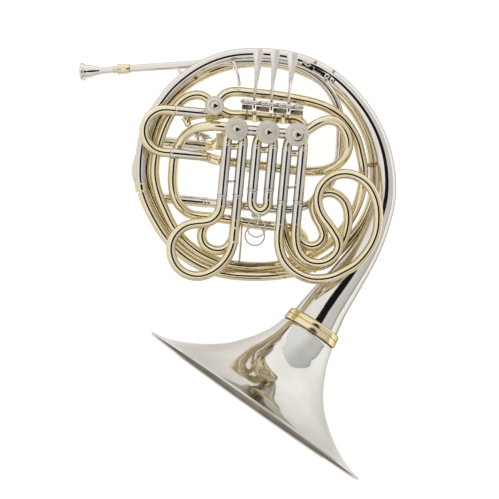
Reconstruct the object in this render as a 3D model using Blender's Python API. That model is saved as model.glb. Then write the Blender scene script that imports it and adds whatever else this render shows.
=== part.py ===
"""Double french horn with a detachable bell, laid down with its rotor caps up.

The design is drawn on a square layout grid in the plane of the body: x runs
right, y runs down, and a third value w, in millimetres, is the height out of
that plane towards the rotor caps.  put() turns a layout point into metres in
the horn's own frame, and rest() lays the whole horn down on the ground.
"""

import math

import bpy
from mathutils import Matrix, Vector

# ---------------------------------------------------------------- dimensions
GRID = 0.00122          # one layout square, metres
TUBE_R = 5.6            # outer radius of the cylindrical tubing, mm
WALL = 0.9              # tube wall, mm
LEG_R = 5.2             # outer radius of a slide's inner leg, mm
SLEEVE_R = 6.2          # outer radius of an outer slide sleeve, mm
SLEEVE_BORE = 5.55      # its bore radius, mm
CROOK_R = 5.85          # outer radius of a slide's bow, mm
SIDES = 6               # sides of a tube
SAG = 0.0009            # how far a tube's facets may cut inside its curve
STOREY_F = 26.0         # height of the F slides, mm
STOREY_B = 13.2         # height of the B flat slides, mm
CASE_LOW, CASE_TOP = -14.0, 34.0   # rotor casings, mm
BELL_R = 155.5          # bell rim radius, mm
BELL_WALL = 0.7         # wall of the flare along its normal, mm
LEVER_W = 30.0          # height of the levers' hinge axis, mm

# How the horn lies at rest: turned about X, then about Y, then moved.
REST_TILT = -15.8176
REST_ROLL = 4.6612
REST_MOVE = (0.020384, 0.019457, 0.09484)

# --------------------------------------------------------------------- frame
REST = Matrix.Rotation(math.radians(REST_ROLL), 4, "Y") @ Matrix.Rotation(
    math.radians(REST_TILT), 4, "X"
)


def put(x, y, w):
    """A layout point in the horn's own frame, metres."""
    return Vector(((x - 250.0) * GRID, (250.0 - y) * GRID, w * 0.001))


def rest(p):
    return REST @ Vector(p) + Vector(REST_MOVE)


def way(x, y, w=0.0):
    """A layout direction as a unit vector of the horn's own frame."""
    return Vector((x, -y, w)).normalized()


UP = Vector((0.0, 0.0, 1.0))
SLIDE_WAY = way(-0.094, 0.9956)      # the valve slides pull this way
SIDE_WAY = way(-0.9955, -0.0947)     # the side slides pull this way

for old in list(bpy.data.objects):
    bpy.data.objects.remove(old, do_unlink=True)


def metal(name, colour, roughness):
    made = bpy.data.materials.new(name)
    made.use_nodes = True
    shader = made.node_tree.nodes["Principled BSDF"]
    shader.inputs["Base Color"].default_value = (*colour, 1.0)
    shader.inputs["Metallic"].default_value = 1.0
    shader.inputs["Roughness"].default_value = roughness
    made.diffuse_color = (*colour, 1.0)
    return made


NICKEL = metal("nickel_silver", (0.80, 0.78, 0.74), 0.12)
BRASS = metal("yellow_brass", (0.85, 0.72, 0.42), 0.14)
CAP_METAL = metal("rotor_cap_metal", (0.74, 0.68, 0.67), 0.3)
STEEL = metal("rotor_steel", (0.55, 0.55, 0.56), 0.35)


# -------------------------------------------------------------- mesh helpers
def add(name, verts, faces, material, origin=None, hide=False):
    """A mesh object; verts are in the horn's own frame, origin a point there."""
    placed = [rest(v) for v in verts]
    volume = 0.0
    for face in faces:
        for i in range(1, len(face) - 1):
            volume += placed[face[0]].dot(placed[face[i]].cross(placed[face[i + 1]]))
    if volume < 0:  # a profile drawn the other way round: turn every face out
        faces = [tuple(reversed(face)) for face in faces]
    home = rest(origin) if origin is not None else Vector((0.0, 0.0, 0.0))
    mesh = bpy.data.meshes.new(name)
    mesh.from_pydata([v - home for v in placed], [], faces)
    mesh.validate()
    mesh.shade_smooth()
    mesh.set_sharp_from_angle(angle=math.radians(50))
    mesh.materials.append(material)
    made = bpy.data.objects.new(name, mesh)
    made.location = home
    bpy.context.scene.collection.objects.link(made)
    if hide:
        made.hide_render = True
        made.display_type = "WIRE"
    return made


def join(target, tool, operation="UNION"):
    tool.hide_render = True
    tool.display_type = "WIRE"
    change = target.modifiers.new(operation.lower(), "BOOLEAN")
    change.operation = operation
    change.solver = "EXACT"
    change.object = tool
    return target


def smooth(points, hard=()):
    """Dense samples (x, y, z, r) of a curve through the points, with the
    indices of the samples that must stay, and each sample's direction."""
    count = len(points)
    gaps = [
        max((Vector(points[i + 1][:3]) - Vector(points[i][:3])).length, 1e-7)
        for i in range(count - 1)
    ]
    slopes = []
    for i in range(count):
        if i == 0:
            slopes.append([(points[1][k] - points[0][k]) / gaps[0] for k in range(4)])
        elif i == count - 1:
            slopes.append([(points[-1][k] - points[-2][k]) / gaps[-1] for k in range(4)])
        else:
            before, after = gaps[i - 1], gaps[i]
            slopes.append(
                [
                    (
                        (points[i][k] - points[i - 1][k]) / before * after
                        + (points[i + 1][k] - points[i][k]) / after * before
                    )
                    / (before + after)
                    for k in range(4)
                ]
            )
    samples, keep = [], {0}
    steps = 12
    for i in range(count - 1):
        for j in range(steps):
            t = j / steps
            a = 2 * t**3 - 3 * t**2 + 1
            b = t**3 - 2 * t**2 + t
            c = -2 * t**3 + 3 * t**2
            d = t**3 - t**2
            value = [
                a * points[i][k]
                + b * gaps[i] * slopes[i][k]
                + c * points[i + 1][k]
                + d * gaps[i] * slopes[i + 1][k]
                for k in range(3)
            ]
            value.append(points[i][3] * (1 - t) + points[i + 1][3] * t)
            if j == 0 and i in hard:
                keep.add(len(samples))
            samples.append(value)
    samples.append(list(points[-1]))
    keep.add(len(samples) - 1)
    return samples, sorted(keep)


def thin(samples, keep, sag):
    """The samples that a tube needs so that no facet strays more than sag."""
    chosen = set(keep)

    def split(first, last):
        if last - first < 2:
            return
        a, b = Vector(samples[first][:3]), Vector(samples[last][:3])
        line = b - a
        worst, where = 0.0, None
        for i in range(first + 1, last):
            p = Vector(samples[i][:3])
            t = (p - a).dot(line) / max(line.length_squared, 1e-12)
            off = (p - a - line * t).length
            wide = abs(samples[i][3] - (samples[first][3] * (1 - t) + samples[last][3] * t))
            off = max(off, wide)
            if off > worst:
                worst, where = off, i
        if worst > sag:
            chosen.add(where)
            split(first, where)
            split(where, last)

    for a, b in zip(keep, keep[1:]):
        split(a, b)
    return sorted(chosen)


def sweep(samples, picks, bore, sides):
    """Vertices and faces of a hollow tube along the picked samples.  bore is
    the inner radius as a function of the outer one, or None for a solid."""
    verts, faces = [], []
    rings = []
    for i in picks:
        a = Vector(samples[max(i - 1, 0)][:3])
        b = Vector(samples[min(i + 1, len(samples) - 1)][:3])
        along = (b - a).normalized()
        across = UP.cross(along).normalized()
        lift = along.cross(across)
        rings.append((Vector(samples[i][:3]), across, lift, samples[i][3]))
    shells = 2 if bore else 1
    for centre, across, lift, radius in rings:
        for shell in range(shells):
            size = radius if shell == 0 else bore(radius)
            for k in range(sides):
                angle = 2 * math.pi * (k + 0.5) / sides
                verts.append(centre + (across * math.cos(angle) + lift * math.sin(angle)) * size)
    step = sides * shells
    last = (len(rings) - 1) * step
    for r in range(len(rings) - 1):
        for k in range(sides):
            n = (k + 1) % sides
            a, b = r * step + k, r * step + n
            faces.append((a, b, b + step, a + step))
            if bore:
                a, b = a + sides, b + sides
                faces.append((a + step, b + step, b, a))
    if bore:
        for k in range(sides):
            n = (k + 1) % sides
            faces.append((k + sides, n + sides, n, k))
            faces.append((last + k, last + n, last + n + sides, last + k + sides))
    else:
        faces.append(tuple(reversed(range(sides))))
        faces.append(tuple(range(last, last + sides)))
    return verts, faces


def layout(points, radius=TUBE_R):
    """Layout points (x, y, w) or (x, y, w, outer radius in mm) in metres."""
    made = []
    for p in points:
        made.append((*put(*p[:3]), (p[3] if len(p) > 3 else radius) * 0.001))
    return made


def tube(name, points, material, radius=TUBE_R, wall=WALL, sides=SIDES, hard=(),
         origin=None, sag=SAG, bore=None):
    curve = layout(points, radius)
    samples, keep = smooth(curve, hard)
    picks = thin(samples, keep, sag)
    if bore is None:
        def bore(r):
            return r - wall * 0.001
    verts, faces = sweep(samples, picks, bore, sides)
    return add(name, verts, faces, material, origin)


def rod(name, points, material, radius, sides=6, origin=None, hide=False):
    """A solid rod along straight pieces between layout points."""
    curve = layout(points, radius)
    samples = [list(p) for p in curve]
    verts, faces = sweep(samples, range(len(samples)), None, sides)
    return add(name, verts, faces, material, origin, hide)


def turned(name, centre, axis, profile, material, sides=16, origin=None, hide=False, start=0.5):
    """A closed profile of (distance along the axis, radius), millimetres,
    turned about the axis.  A radius of 0 closes the shape on the axis."""
    axis = Vector(axis).normalized()
    helper = UP if abs(axis.dot(UP)) < 0.9 else Vector((1.0, 0.0, 0.0))
    across = helper.cross(axis).normalized()
    lift = axis.cross(across)
    centre = Vector(centre)
    verts, index = [], []
    for along, radius in profile:
        if radius <= 1e-9:
            index.append([len(verts)])
            verts.append(centre + axis * along * 0.001)
            continue
        ring = []
        for k in range(sides):
            angle = 2 * math.pi * (k + start) / sides
            ring.append(len(verts))
            verts.append(
                centre
                + axis * along * 0.001
                + (across * math.cos(angle) + lift * math.sin(angle)) * radius * 0.001
            )
        index.append(ring)
    faces = []
    for i in range(len(index)):
        first, second = index[i], index[(i + 1) % len(index)]
        if len(first) == 1 and len(second) == 1:
            continue
        for k in range(sides):
            n = (k + 1) % sides
            if len(first) == 1:
                faces.append((first[0], second[n], second[k]))
            elif len(second) == 1:
                faces.append((first[k], first[n], second[0]))
            else:
                faces.append((first[k], first[n], second[n], second[k]))
    return add(name, verts, faces, material, origin, hide)


def prism(name, outline, low, high, material, origin=None, hide=False):
    """An outline of layout points, anticlockwise as drawn with y up, between
    two heights w."""
    n = len(outline)
    verts = [put(x, y, low) for x, y in outline] + [put(x, y, high) for x, y in outline]
    faces = [tuple(reversed(range(n))), tuple(range(n, 2 * n))]
    for k in range(n):
        m = (k + 1) % n
        faces.append((k, m, m + n, k + n))
    return add(name, verts, faces, material, origin, hide)


def bar(name, a, b, wide, high, material, hide=True):
    """A straight bar of wide by high mm between two layout points."""
    pa, pb = put(*a), put(*b)
    along = (pb - pa).normalized()
    across = UP.cross(along).normalized() * wide * 0.0005
    lift = along.cross(across).normalized() * high * 0.0005
    verts = []
    for p in (pa, pb):
        verts += [p - across - lift, p + across - lift, p + across + lift, p - across + lift]
    faces = [(3, 2, 1, 0), (4, 5, 6, 7), (0, 1, 5, 4), (1, 2, 6, 5), (2, 3, 7, 6), (3, 0, 4, 7)]
    return add(name, verts, faces, material, None, hide)


# ------------------------------------------------------------- the bell tail
# From the screw ring round the whole body to the ferrule: x, y, w, radius.
TAIL = [
    (314.66, 323.9, -10, 30.4), (327.3, 304.4, -9.5, 26.2), (347.8, 276.4, -8.5, 21.4),
    (366, 249.3, -6, 17.3), (378.6, 221.4, -4, 14.6), (384.7, 199.5, -3, 13.2),
    (386, 180, -2.5, 12.2), (384.8, 164.6, -2, 11.5), (381.5, 148.7, -1.5, 10.9),
    (376.2, 133.4, -1, 10.4), (369, 119, -0.6, 9.9), (359.7, 105, -0.3, 9.5),
    (348.5, 91.6, 0, 9.2), (335.3, 79.3, 0, 8.8), (321.4, 69.9, 0, 8.4),
    (305.3, 62.5, 0, 8.2), (288.3, 57.3, 0, 7.9), (269.4, 54.6, 0, 7.7),
    (250.3, 54.1, 0, 7.4), (230.9, 55.9, 0, 7.3), (214.1, 60.7, 0, 7.1), (198.3, 68.2, 0, 7.0),
    (183.8, 78.2, 0, 6.8), (172, 88.9, 0, 6.7), (161.4, 102.1, 0, 6.6),
    (151.6, 117.1, 0, 6.5), (144.9, 132.8, 0, 6.3), (141.5, 148.9, 0, 6.2),
    (140, 165, 0, 6.1), (140.2, 180, 0, 6.0), (141, 186, 0, 6.0),
]
RING_AT = (312.3, 327.5, -10.0)
RING_WAY = way(-0.548, 0.836, 0.09)
BELL_WAY = way(-0.577, 0.812, 0.048)
tube("bell_tail", TAIL, NICKEL, wall=0.9, sides=12, sag=0.0012)

# --------------------------------------------------------------- screw rings
ring_centre = put(*RING_AT)
turned("tail_screw_ring", ring_centre, RING_WAY,
       [(-7.3, 31.7), (-0.2, 32.2), (-0.2, 35.3), (-7.3, 34.4)], BRASS, sides=24)
turned("bell_screw_ring", ring_centre, RING_WAY,
       [(0.2, 32.4), (7.2, 32.4), (7.2, 36.0), (0.2, 35.3)], BRASS, sides=24,
       origin=ring_centre)

# ---------------------------------------------------------------- bell flare
# Distance from the ring along the axis and radius of the outer skin, mm.
FLARE = [
    (0.3, 31.7), (7.5, 31.9), (8.3, 35.7), (24.4, 39.8), (39.0, 46.6), (55.0, 56.5),
    (67.5, 65.8), (79.5, 77.2), (91.5, 92.0), (101.5, 107.0), (109.0, 122.5),
    (114.5, 139.0), (117.2, BELL_R),
]


def flare_ring(along, radius, sides):
    """One ring of the flare.  The axis swings from the ring's to the rim's."""
    share = min(max(along / 60.0, 0.0), 1.0)
    share = share * share * (3 - 2 * share)
    axis = (RING_WAY * (1 - share) + BELL_WAY * share).normalized()
    end = put(255.2, 405.6, 1.7)
    straight = ring_centre + (end - ring_centre) * (along / 117.2)
    leave = ring_centre + RING_WAY * along * 0.001
    fade = max(0.0, 1.0 - along / 60.0)
    centre = straight * (1 - fade) + leave * fade
    across = UP.cross(axis).normalized()
    lift = axis.cross(across)
    return [
        centre + (across * math.cos(a) + lift * math.sin(a)) * radius * 0.001
        for a in (2 * math.pi * (k + 0.5) / sides for k in range(sides))
    ]


def flare(name, sides=24):
    verts, faces, rings = [], [], []
    inner = []
    for i, (a, r) in enumerate(FLARE[:-1]):
        if i < 2:
            inner.append((a, r - BELL_WALL))
            continue
        da, dr = FLARE[i + 1][0] - FLARE[i - 1][0], FLARE[i + 1][1] - FLARE[i - 1][1]
        length = math.hypot(da, dr)
        inner.append((a + dr / length * BELL_WALL, r - da / length * BELL_WALL))
    inner.reverse()
    rim = [(119.0, BELL_R + 0.2), (119.0, BELL_R - 2.2)]
    for along, radius in FLARE + rim + inner:
        rings.append(len(verts))
        verts += flare_ring(along, radius, sides)
    for i in range(len(rings)):
        a, b = rings[i], rings[(i + 1) % len(rings)]
        for k in range(sides):
            n = (k + 1) % sides
            faces.append((a + k, a + n, b + n, b + k))
    return add(name, verts, faces, NICKEL, ring_centre)


flare("bell_flare")

# ------------------------------------------------- mouthpiece and leadpipe
MOUTH_AT = put(80.0, 70.9, -43.6)
MOUTH_WAY = (put(130.1, 67.8, -31.0) - MOUTH_AT).normalized()
turned("mouthpiece", MOUTH_AT, MOUTH_WAY,
       [(0.0, 10.1), (0.9, 8.9), (5.0, 8.3), (12.0, 5.6), (17.0, 2.3), (57.5, 3.0),
        (57.5, 3.9), (46.0, 4.3), (38.0, 4.8), (28.0, 4.5), (20.0, 5.2), (12.0, 7.0),
        (5.5, 8.9), (3.0, 10.7), (1.0, 10.7)],
       NICKEL, sides=16, origin=MOUTH_AT)
turned("mouthpiece_receiver", MOUTH_AT, MOUTH_WAY,
       [(46.0, 4.75), (61.7, 4.55), (61.7, 5.6), (59.7, 6.2), (48.0, 6.2), (46.0, 5.8)],
       BRASS, sides=16)
LEADPIPE = [
    (129.9, 67.8, -31, 4.4), (144, 67.0, -27.4, 4.5), (159.4, 66.0, -23.6, 4.6),
    (184.7, 64.6, -17.8, 4.8), (205, 63.2, -14.4, 5.0), (225, 62, -13, 5.0),
    (250, 61.3, -13, 5.0), (270, 61.5, -13, 5.0), (285, 63.5, -13, 5.0),
    (298, 67, -13, 5.1), (308, 71.5, -13.3, 5.1), (317, 77.5, -13.6, 5.1),
    (325, 85, -14, 5.1), (331.5, 93.5, -14, 5.1), (336, 102, -14, 5.2),
    (339, 112, -14, 5.2), (340.5, 125, -14, 5.2), (340.5, 140, -14, 5.2),
    (339, 158, -14, 5.2), (335.5, 172, -14, 5.3), (330, 184, -14, 5.3),
    (322.5, 194, -14, 5.3), (313.5, 201.5, -14, 5.3), (303, 206.6, -14, 5.4),
    (291, 209.3, -14, 5.5), (275, 208.9, -14, 5.6), (250, 206.6, -15, 5.6),
    (228, 204.5, -17.6, 5.6), (217, 203.5, -21.4, 5.6), (210.5, 202.85, -22.9, 5.6),
    (206.0, 202.4, -23, 5.6),
]
tube("leadpipe", LEADPIPE, NICKEL, sag=0.0008)

# ------------------------------------------------------------- rotary valves
VALVES = {  # number: x, y, casing radius, cap radius, stop arm's layout direction
    1: (236.5, 129.5, 11.6, 14.6, (0.25, -0.97)),
    2: (268.0, 132.5, 11.6, 14.6, (0.25, -0.97)),
    3: (297.0, 135.0, 11.6, 14.6, (0.25, -0.97)),
    4: (214.5, 106.0, 10.0, 11.8, (-0.97, -0.25)),
}
for number, (x, y, case_r, cap_r, arm) in VALVES.items():
    base = put(x, y, 0)
    turned(f"rotor_casing_{number}", base, UP,
           [(CASE_LOW, case_r), (CASE_LOW, 3.5), (CASE_LOW + 1.8, 3.5),
            (CASE_LOW + 1.8, case_r - 1.2), (CASE_TOP, case_r - 1.2), (CASE_TOP, case_r)],
           BRASS, sides=12)
    turned(f"rotor_cap_{number}", base, UP,
           [(CASE_TOP + 0.3, 0.0), (CASE_TOP + 0.3, cap_r), (CASE_TOP + 2.4, cap_r),
            (CASE_TOP + 3.4, cap_r - 1.4), (CASE_TOP + 3.7, 5.4), (CASE_TOP + 4.6, 4.2),
            (CASE_TOP + 4.6, 0.0)][::-1],
           CAP_METAL, sides=16)
    rotor = turned(f"rotor_{number}", base, UP,
                   [(CASE_LOW - 7.5, 0.0), (CASE_LOW - 7.5, 3.0), (CASE_LOW + 2.2, 3.0),
                    (CASE_LOW + 2.2, case_r - 1.6), (CASE_TOP - 0.4, case_r - 1.6),
                    (CASE_TOP - 0.4, 0.0)][::-1],
                   STEEL, sides=12, origin=base)
    ax, ay = arm
    reach = (x + ax * 7.5, y + ay * 7.5, CASE_LOW - 4.2)
    join(rotor, bar(f"stop_arm_{number}", (x, y, CASE_LOW - 4.2), reach, 3.6, 2.4, STEEL))
    for storey in (STOREY_F, STOREY_B):
        # the two passages of one storey, a scoop on each side of the rotor
        for side in (-1, 1):
            scoop = turned(f"scoop_{number}_{int(storey)}_{side}",
                           put(x + side * (case_r + 1.0) / 1.22, y, storey), way(0, -1),
                           [(-14, 0.0), (-14, 5.0), (14, 5.0), (14, 0.0)][::-1],
                           STEEL, sides=8, hide=True)
            join(rotor, scoop, "DIFFERENCE")

# the short tubes that join valve to valve, both storeys in one soldered piece
for name, a, b in (("1_2", 1, 2), ("2_3", 2, 3)):
    xa, ya, ra = VALVES[a][0], VALVES[a][1], VALVES[a][2] / 1.22 + 0.35
    xb, yb, rb = VALVES[b][0], VALVES[b][1], VALVES[b][2] / 1.22 + 0.35
    gap = math.hypot(xb - xa, yb - ya)
    ux, uy = (xb - xa) / gap, (yb - ya) / gap
    ends = [(xa + ux * ra, ya + uy * ra), (xb - ux * rb, yb - uy * rb)]
    front = tube(f"valve_knuckle_{name}", [(*ends[0], STOREY_F), (*ends[1], STOREY_F)],
                 BRASS, wall=1.0)
    back = tube(f"knuckle_back_{name}", [(*ends[0], STOREY_B), (*ends[1], STOREY_B)],
                BRASS, wall=1.0)
    join(front, back)
    mid = ((ends[0][0] + ends[1][0]) / 2, (ends[0][1] + ends[1][1]) / 2)
    web = prism(f"knuckle_web_{name}",
                [(mid[0] - 1.2, mid[1] + 1.2), (mid[0] + 1.2, mid[1] + 1.2),
                 (mid[0] + 1.2, mid[1] - 1.2), (mid[0] - 1.2, mid[1] - 1.2)],
                STOREY_B + 4.8, STOREY_F - 4.8, BRASS, hide=True)
    join(front, web)


# -------------------------------------------------------- valve slide sleeves
def leg_x(x180, y):
    return x180 - 0.0944 * (y - 180.0)


PAIRS = {  # name: valve, left leg x, right leg x, seam y, storey
    "f_slide_1": (1, 223.6, 239.3, 197.0, STOREY_F),
    "f_slide_2": (2, 253.5, 269.7, 191.0, STOREY_F),
    "f_slide_3": (3, 284.1, 300.0, 203.0, STOREY_F),
    "b_slide_1": (1, 223.6, 239.3, 197.0, STOREY_B),
    "b_slide_2": (2, 253.5, 269.7, 191.0, STOREY_B),
    "b_slide_3": (3, 284.1, 300.0, 203.0, STOREY_B),
}


def sleeve_path(valve, x180, seam, storey):
    cx, cy, case_r = VALVES[valve][:3]
    reach = case_r / 1.22 + 0.45
    bend_y = cy + 15.5
    bend_x = leg_x(x180, bend_y)
    gap = math.hypot(bend_x - cx, bend_y - cy)
    start = (cx + (bend_x - cx) / gap * reach, cy + (bend_y - cy) / gap * reach)
    low = bend_y + 5.0
    return [(*start, storey), (bend_x, bend_y, storey), (leg_x(x180, low), low, storey),
            (leg_x(x180, low + 4), low + 4, storey), (leg_x(x180, seam), seam, storey)]


def sleeve_bore(r):
    return SLEEVE_BORE * 0.001


for name, (valve, left, right, seam, storey) in PAIRS.items():
    one = tube(f"{name}_sleeves", sleeve_path(valve, left, seam, storey), NICKEL,
               radius=SLEEVE_R, bore=sleeve_bore, hard=(2, 3))
    two = tube(f"{name}_right_sleeve", sleeve_path(valve, right, seam, storey), NICKEL,
               radius=SLEEVE_R, bore=sleeve_bore, hard=(2, 3))
    inset = 5.08 / 1.22
    at = 181.0
    brace = bar(f"{name}_brace", (leg_x(left, at) + inset, at, storey),
                (leg_x(right, at) - inset, at - 0.0, storey), 3.0, 2.6, NICKEL)
    join(one, brace)
    join(one, two)

# --------------------------------------------------------- valve slide crooks
CROOKS = {
    "f_slide_1": [
        (221.0, 205), (219.8, 211.3), (216.5, 216.8), (211, 221.2), (204, 223), (197, 223.6),
        (187, 225.7), (179, 231), (173.5, 238.5), (171, 248), (172.5, 258), (177, 266.5),
        (184, 272.5), (193, 275.7), (202, 275.7), (211, 272.5), (219, 267), (226, 259.5),
        (230.5, 251.5), (233.2, 243), (234.3, 232), (235.4, 220), (236.6, 207)],
    "f_slide_2": [
        (251.6, 200), (252.5, 206), (255.5, 210), (260, 211.8), (264.5, 210), (267.4, 206),
        (268.0, 200)],
    "f_slide_3": [
        (281, 213), (279.7, 226), (278.5, 238), (279.3, 248), (283, 259), (290, 268), (300, 275),
        (310, 278.5), (320, 279), (332, 277), (344, 271.5), (355, 265), (364, 256),
        (372, 244), (376.5, 232), (378, 218), (377, 205), (373, 193), (366, 183),
        (356, 176.5), (345, 174), (334, 176), (325, 182), (319.5, 190), (317.5, 200),
        (319, 209), (323, 217), (329, 225), (334, 232.5), (338, 240), (338.5, 248),
        (335, 255), (328, 261), (318, 263.5), (309, 262), (301, 256), (296.8, 248),
        (295.3, 238), (295.8, 225), (297, 212)],
    "b_slide_1": [
        (221, 206), (217, 215), (209, 221.6), (203.5, 228), (201.7, 236), (204, 244),
        (210.5, 249), (218, 250.5), (226, 248), (232, 240), (235.3, 228), (236.2, 212)],
    "b_slide_2": [
        (251.7, 199), (252.3, 205), (255.2, 210), (259.8, 212), (264.4, 210), (267.3, 205),
        (267.9, 199)],
    "b_slide_3": [
        (281, 214), (283, 227), (286.8, 241), (293.5, 254), (303, 263), (314, 266.5),
        (328, 262.5), (339, 249), (346, 232), (348, 216), (344, 201.5), (334, 193.5),
        (323, 193.5), (315.3, 199), (313.2, 207), (316, 217), (321.5, 227.5),
        (323.5, 236), (320, 243), (311.5, 246.5), (304.5, 244.5), (299.5, 240),
        (296.6, 232), (296.3, 222), (297, 212)],
}
LEG_TOP = 164.0


def crook_path(name):
    valve, left, right, seam, storey = PAIRS[name]
    out = []
    for y, r in ((LEG_TOP, LEG_R), (LEG_TOP + 6, LEG_R), (seam + 0.3, LEG_R), (seam + 0.6, CROOK_R)):
        out.append((leg_x(left, y), y, storey, r))
    out.append((leg_x(left, seam + 3.0), seam + 3.0, storey, CROOK_R))
    for x, y in CROOKS[name]:
        out.append((x, y, storey, CROOK_R))
    out.append((leg_x(right, seam + 3.0), seam + 3.0, storey, CROOK_R))
    for y, r in ((seam + 0.6, CROOK_R), (seam + 0.3, LEG_R), (LEG_TOP + 6, LEG_R), (LEG_TOP, LEG_R)):
        out.append((leg_x(right, y), y, storey, r))
    return out


def crook_bore(r):
    return min(r - 0.0006, 0.0046)


for name in PAIRS:
    path = crook_path(name)
    last = len(path) - 1
    tube(f"{name}_crook", path, BRASS, bore=crook_bore,
         hard=(1, 2, 3, last - 3, last - 2, last - 1), origin=put(*path[0][:3]))


# ---------------------------------------------------------------- side slides
def side_y(x, y190):
    return y190 + 0.0951 * (x - 190.0)


def side_crook(name, upper, lower, seam_up, seam_low, inside, bend_x, w):
    """A U slide whose legs lie along SIDE_WAY."""
    out = [(inside, side_y(inside, upper), w, LEG_R), (inside - 5, side_y(inside - 5, upper), w, LEG_R),
           (seam_up - 0.3, side_y(seam_up - 0.3, upper), w, LEG_R),
           (seam_up - 0.6, side_y(seam_up - 0.6, upper), w, CROOK_R)]
    span = (lower - upper) * 0.9955 / 2.0
    middle = (bend_x, (side_y(bend_x, upper) + side_y(bend_x, lower)) / 2.0)
    for k in range(13):
        angle = math.pi * k / 12
        ex, ey = math.sin(angle) * span, math.cos(angle) * span
        out.append((middle[0] - ex * 0.9955 + ey * 0.0947, middle[1] - ex * 0.0947 - ey * 0.9955,
                    w, CROOK_R))
    out += [(seam_low - 0.6, side_y(seam_low - 0.6, lower), w, CROOK_R),
            (seam_low - 0.3, side_y(seam_low - 0.3, lower), w, LEG_R),
            (inside - 5, side_y(inside - 5, lower), w, LEG_R),
            (inside, side_y(inside, lower), w, LEG_R)]
    last = len(out) - 1
    return tube(name, out, BRASS, bore=crook_bore,
                hard=(1, 2, 3, last - 3, last - 2, last - 1), origin=put(*out[0][:3]))


def side_sleeve(name, y190, seam, end, w):
    return tube(name, [(seam, side_y(seam, y190), w), (end, side_y(end, y190), w)], NICKEL,
                radius=SLEEVE_R, bore=sleeve_bore)


MAIN_W, AUX_W = -23.0, 14.0
MAIN_UP, MAIN_LOW = 144.0, 200.85      # y of the legs where x is 190
AUX_UP, AUX_LOW = 112.2, 154.9
side_crook("main_tuning_slide", MAIN_UP, MAIN_LOW, 166.5, 166.5, 199.0, 164.5, MAIN_W)
side_sleeve("main_slide_lower_sleeve", MAIN_LOW, 166.5, 205.0, MAIN_W)
side_crook("f_tuning_slide", AUX_UP, AUX_LOW, 176.0, 171.0, 196.0, 165.5, AUX_W)
side_sleeve("f_tuning_upper_sleeve", AUX_UP, 176.0, 205.0, AUX_W)

# -------------------------------------------------------------- fixed tubing
def stepped_bore(r):
    """The bore of a sleeve that runs on as plain tubing."""
    return SLEEVE_BORE * 0.001 if r > 0.0057 else r - WALL * 0.001


tube("main_slide_upper_sleeve",
     [(166.5, side_y(166.5, MAIN_UP), -23, SLEEVE_R), (201.5, side_y(201.5, MAIN_UP), -23, SLEEVE_R),
      (202.5, side_y(202.5, MAIN_UP), -23, 5.6), (208, side_y(208, MAIN_UP), -22.5),
      (214, 144.5, -18), (218.5, 141.5, -9), (222.3, 138.0, -1.5), (226.2, 134.4, 0.0)],
     NICKEL, bore=stepped_bore, hard=(1, 2))
tube("return_tube",
     [(274.6, 226.4, -9.8), (262, 225.2, -9.8), (240, 221.5, -9.8), (225, 219, -9.8),
      (208, 216.9, -9.8), (200, 216.3, -9.6), (190, 214, -8), (182, 208.4, -5),
      (176, 200, -2.5), (173.3, 190, 0), (172.5, 180, 1), (173, 170, 1), (174, 160, 1),
      (177, 150, 1), (180, 143, 2), (184, 137, 5), (190, 132, 11), (197, 128.7, 17),
      (205, 127.2, 21.5), (214, 126.4, 24), (226.2, 127.6, 24)], BRASS)
tube("f_branch_loop",
     [(207.8, 99.6, 1.5), (204, 96.6, 1.5), (197, 95, 1.5), (188.5, 96.8, 1.5),
      (181.5, 101.5, 1.5), (175.5, 108, 1.5), (167, 122, 1.5), (160, 140, 1.5),
      (155.5, 160, 1.5), (154.6, 172, 1.5), (156, 184, 1.5), (160, 198, 1.5),
      (166, 212, 1.5), (173, 226, 1.5), (183, 239, 1.5), (197, 251, 1.5),
      (215, 260, 1.5), (238, 265.3, 1.5), (252, 266.4, 0.6), (264, 266.4, -3.2),
      (275, 265.4, -7.4), (284, 263.4, -9.8),
      (296, 258, -9.8), (303.5, 248, -9.8), (303.5, 238, -9.8), (297, 230, -9.8),
      (286, 227.4, -9.8), (275.2, 226.5, -9.8)], BRASS)
tube("b_branch_upper",
     [(220.8, 99.0, 4), (225.5, 94.3, 4), (231.5, 92.2, 4), (240, 92, 4), (250, 93, 4),
      (260, 94, 4), (270, 95, 4), (280, 96.5, 4), (290, 98, 4), (300, 100, 4),
      (310, 102, 4), (320, 105, 4), (330, 109.5, 4), (340, 116, 3), (350, 127, 2),
      (357, 140, 2), (361, 155, 2), (363.5, 170, 2), (362.5, 185, 0), (359, 200, -4),
      (353, 214, -8), (344, 228, -12), (332, 241, -16), (317, 252, -20),
      (300, 261, -21.8), (283, 267, -21.8), (266, 269.3, -17.5), (256, 269.4, -13.6),
      (250.4, 269.2, -12.0)], BRASS)
tube("b_branch_circle",
     [(249.4, 269.1, -11.8), (240, 268.2, -10.8), (225, 265.2, -10.5), (205, 258, -10.5),
      (185, 244.8, -10.5), (168, 226.8, -10.5), (156, 206, -10.5), (148.5, 187, -10.5),
      (146, 170, -10.5), (147.3, 158, -10.5), (150, 145, -10.5), (158, 120, -10.5),
      (170, 100.3, -11), (180, 90.5, -13), (190, 82.5, -16), (200, 76.5, -19.5),
      (210, 71.5, -23.2), (220, 67.5, -25.3), (232.2, 64.3, -25.6)], BRASS)
tube("b_branch_outer",
     [(233.2, 64.1, -25.6), (250, 62, -25.6), (270, 62.3, -25.6), (290, 66, -25.6),
      (310, 73.5, -25.6), (330, 86, -24.6), (348, 102, -20.5), (361, 121.5, -17.5),
      (369.5, 141, -16), (373.3, 162, -16), (374, 180, -16), (372, 200, -16),
      (364, 220, -16), (350, 239.5, -15), (332, 257, -12.5), (310, 268, -10.5),
      (285, 274, -4), (265, 276, 0), (250, 276, 0), (230, 274.6, 0), (212, 270.6, 0),
      (190, 260.3, 0), (168, 240.5, 0), (155, 221, 0), (146.4, 204, 0), (143.4, 196, 0), (142.3, 192.4, 0)],
     BRASS)
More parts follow.
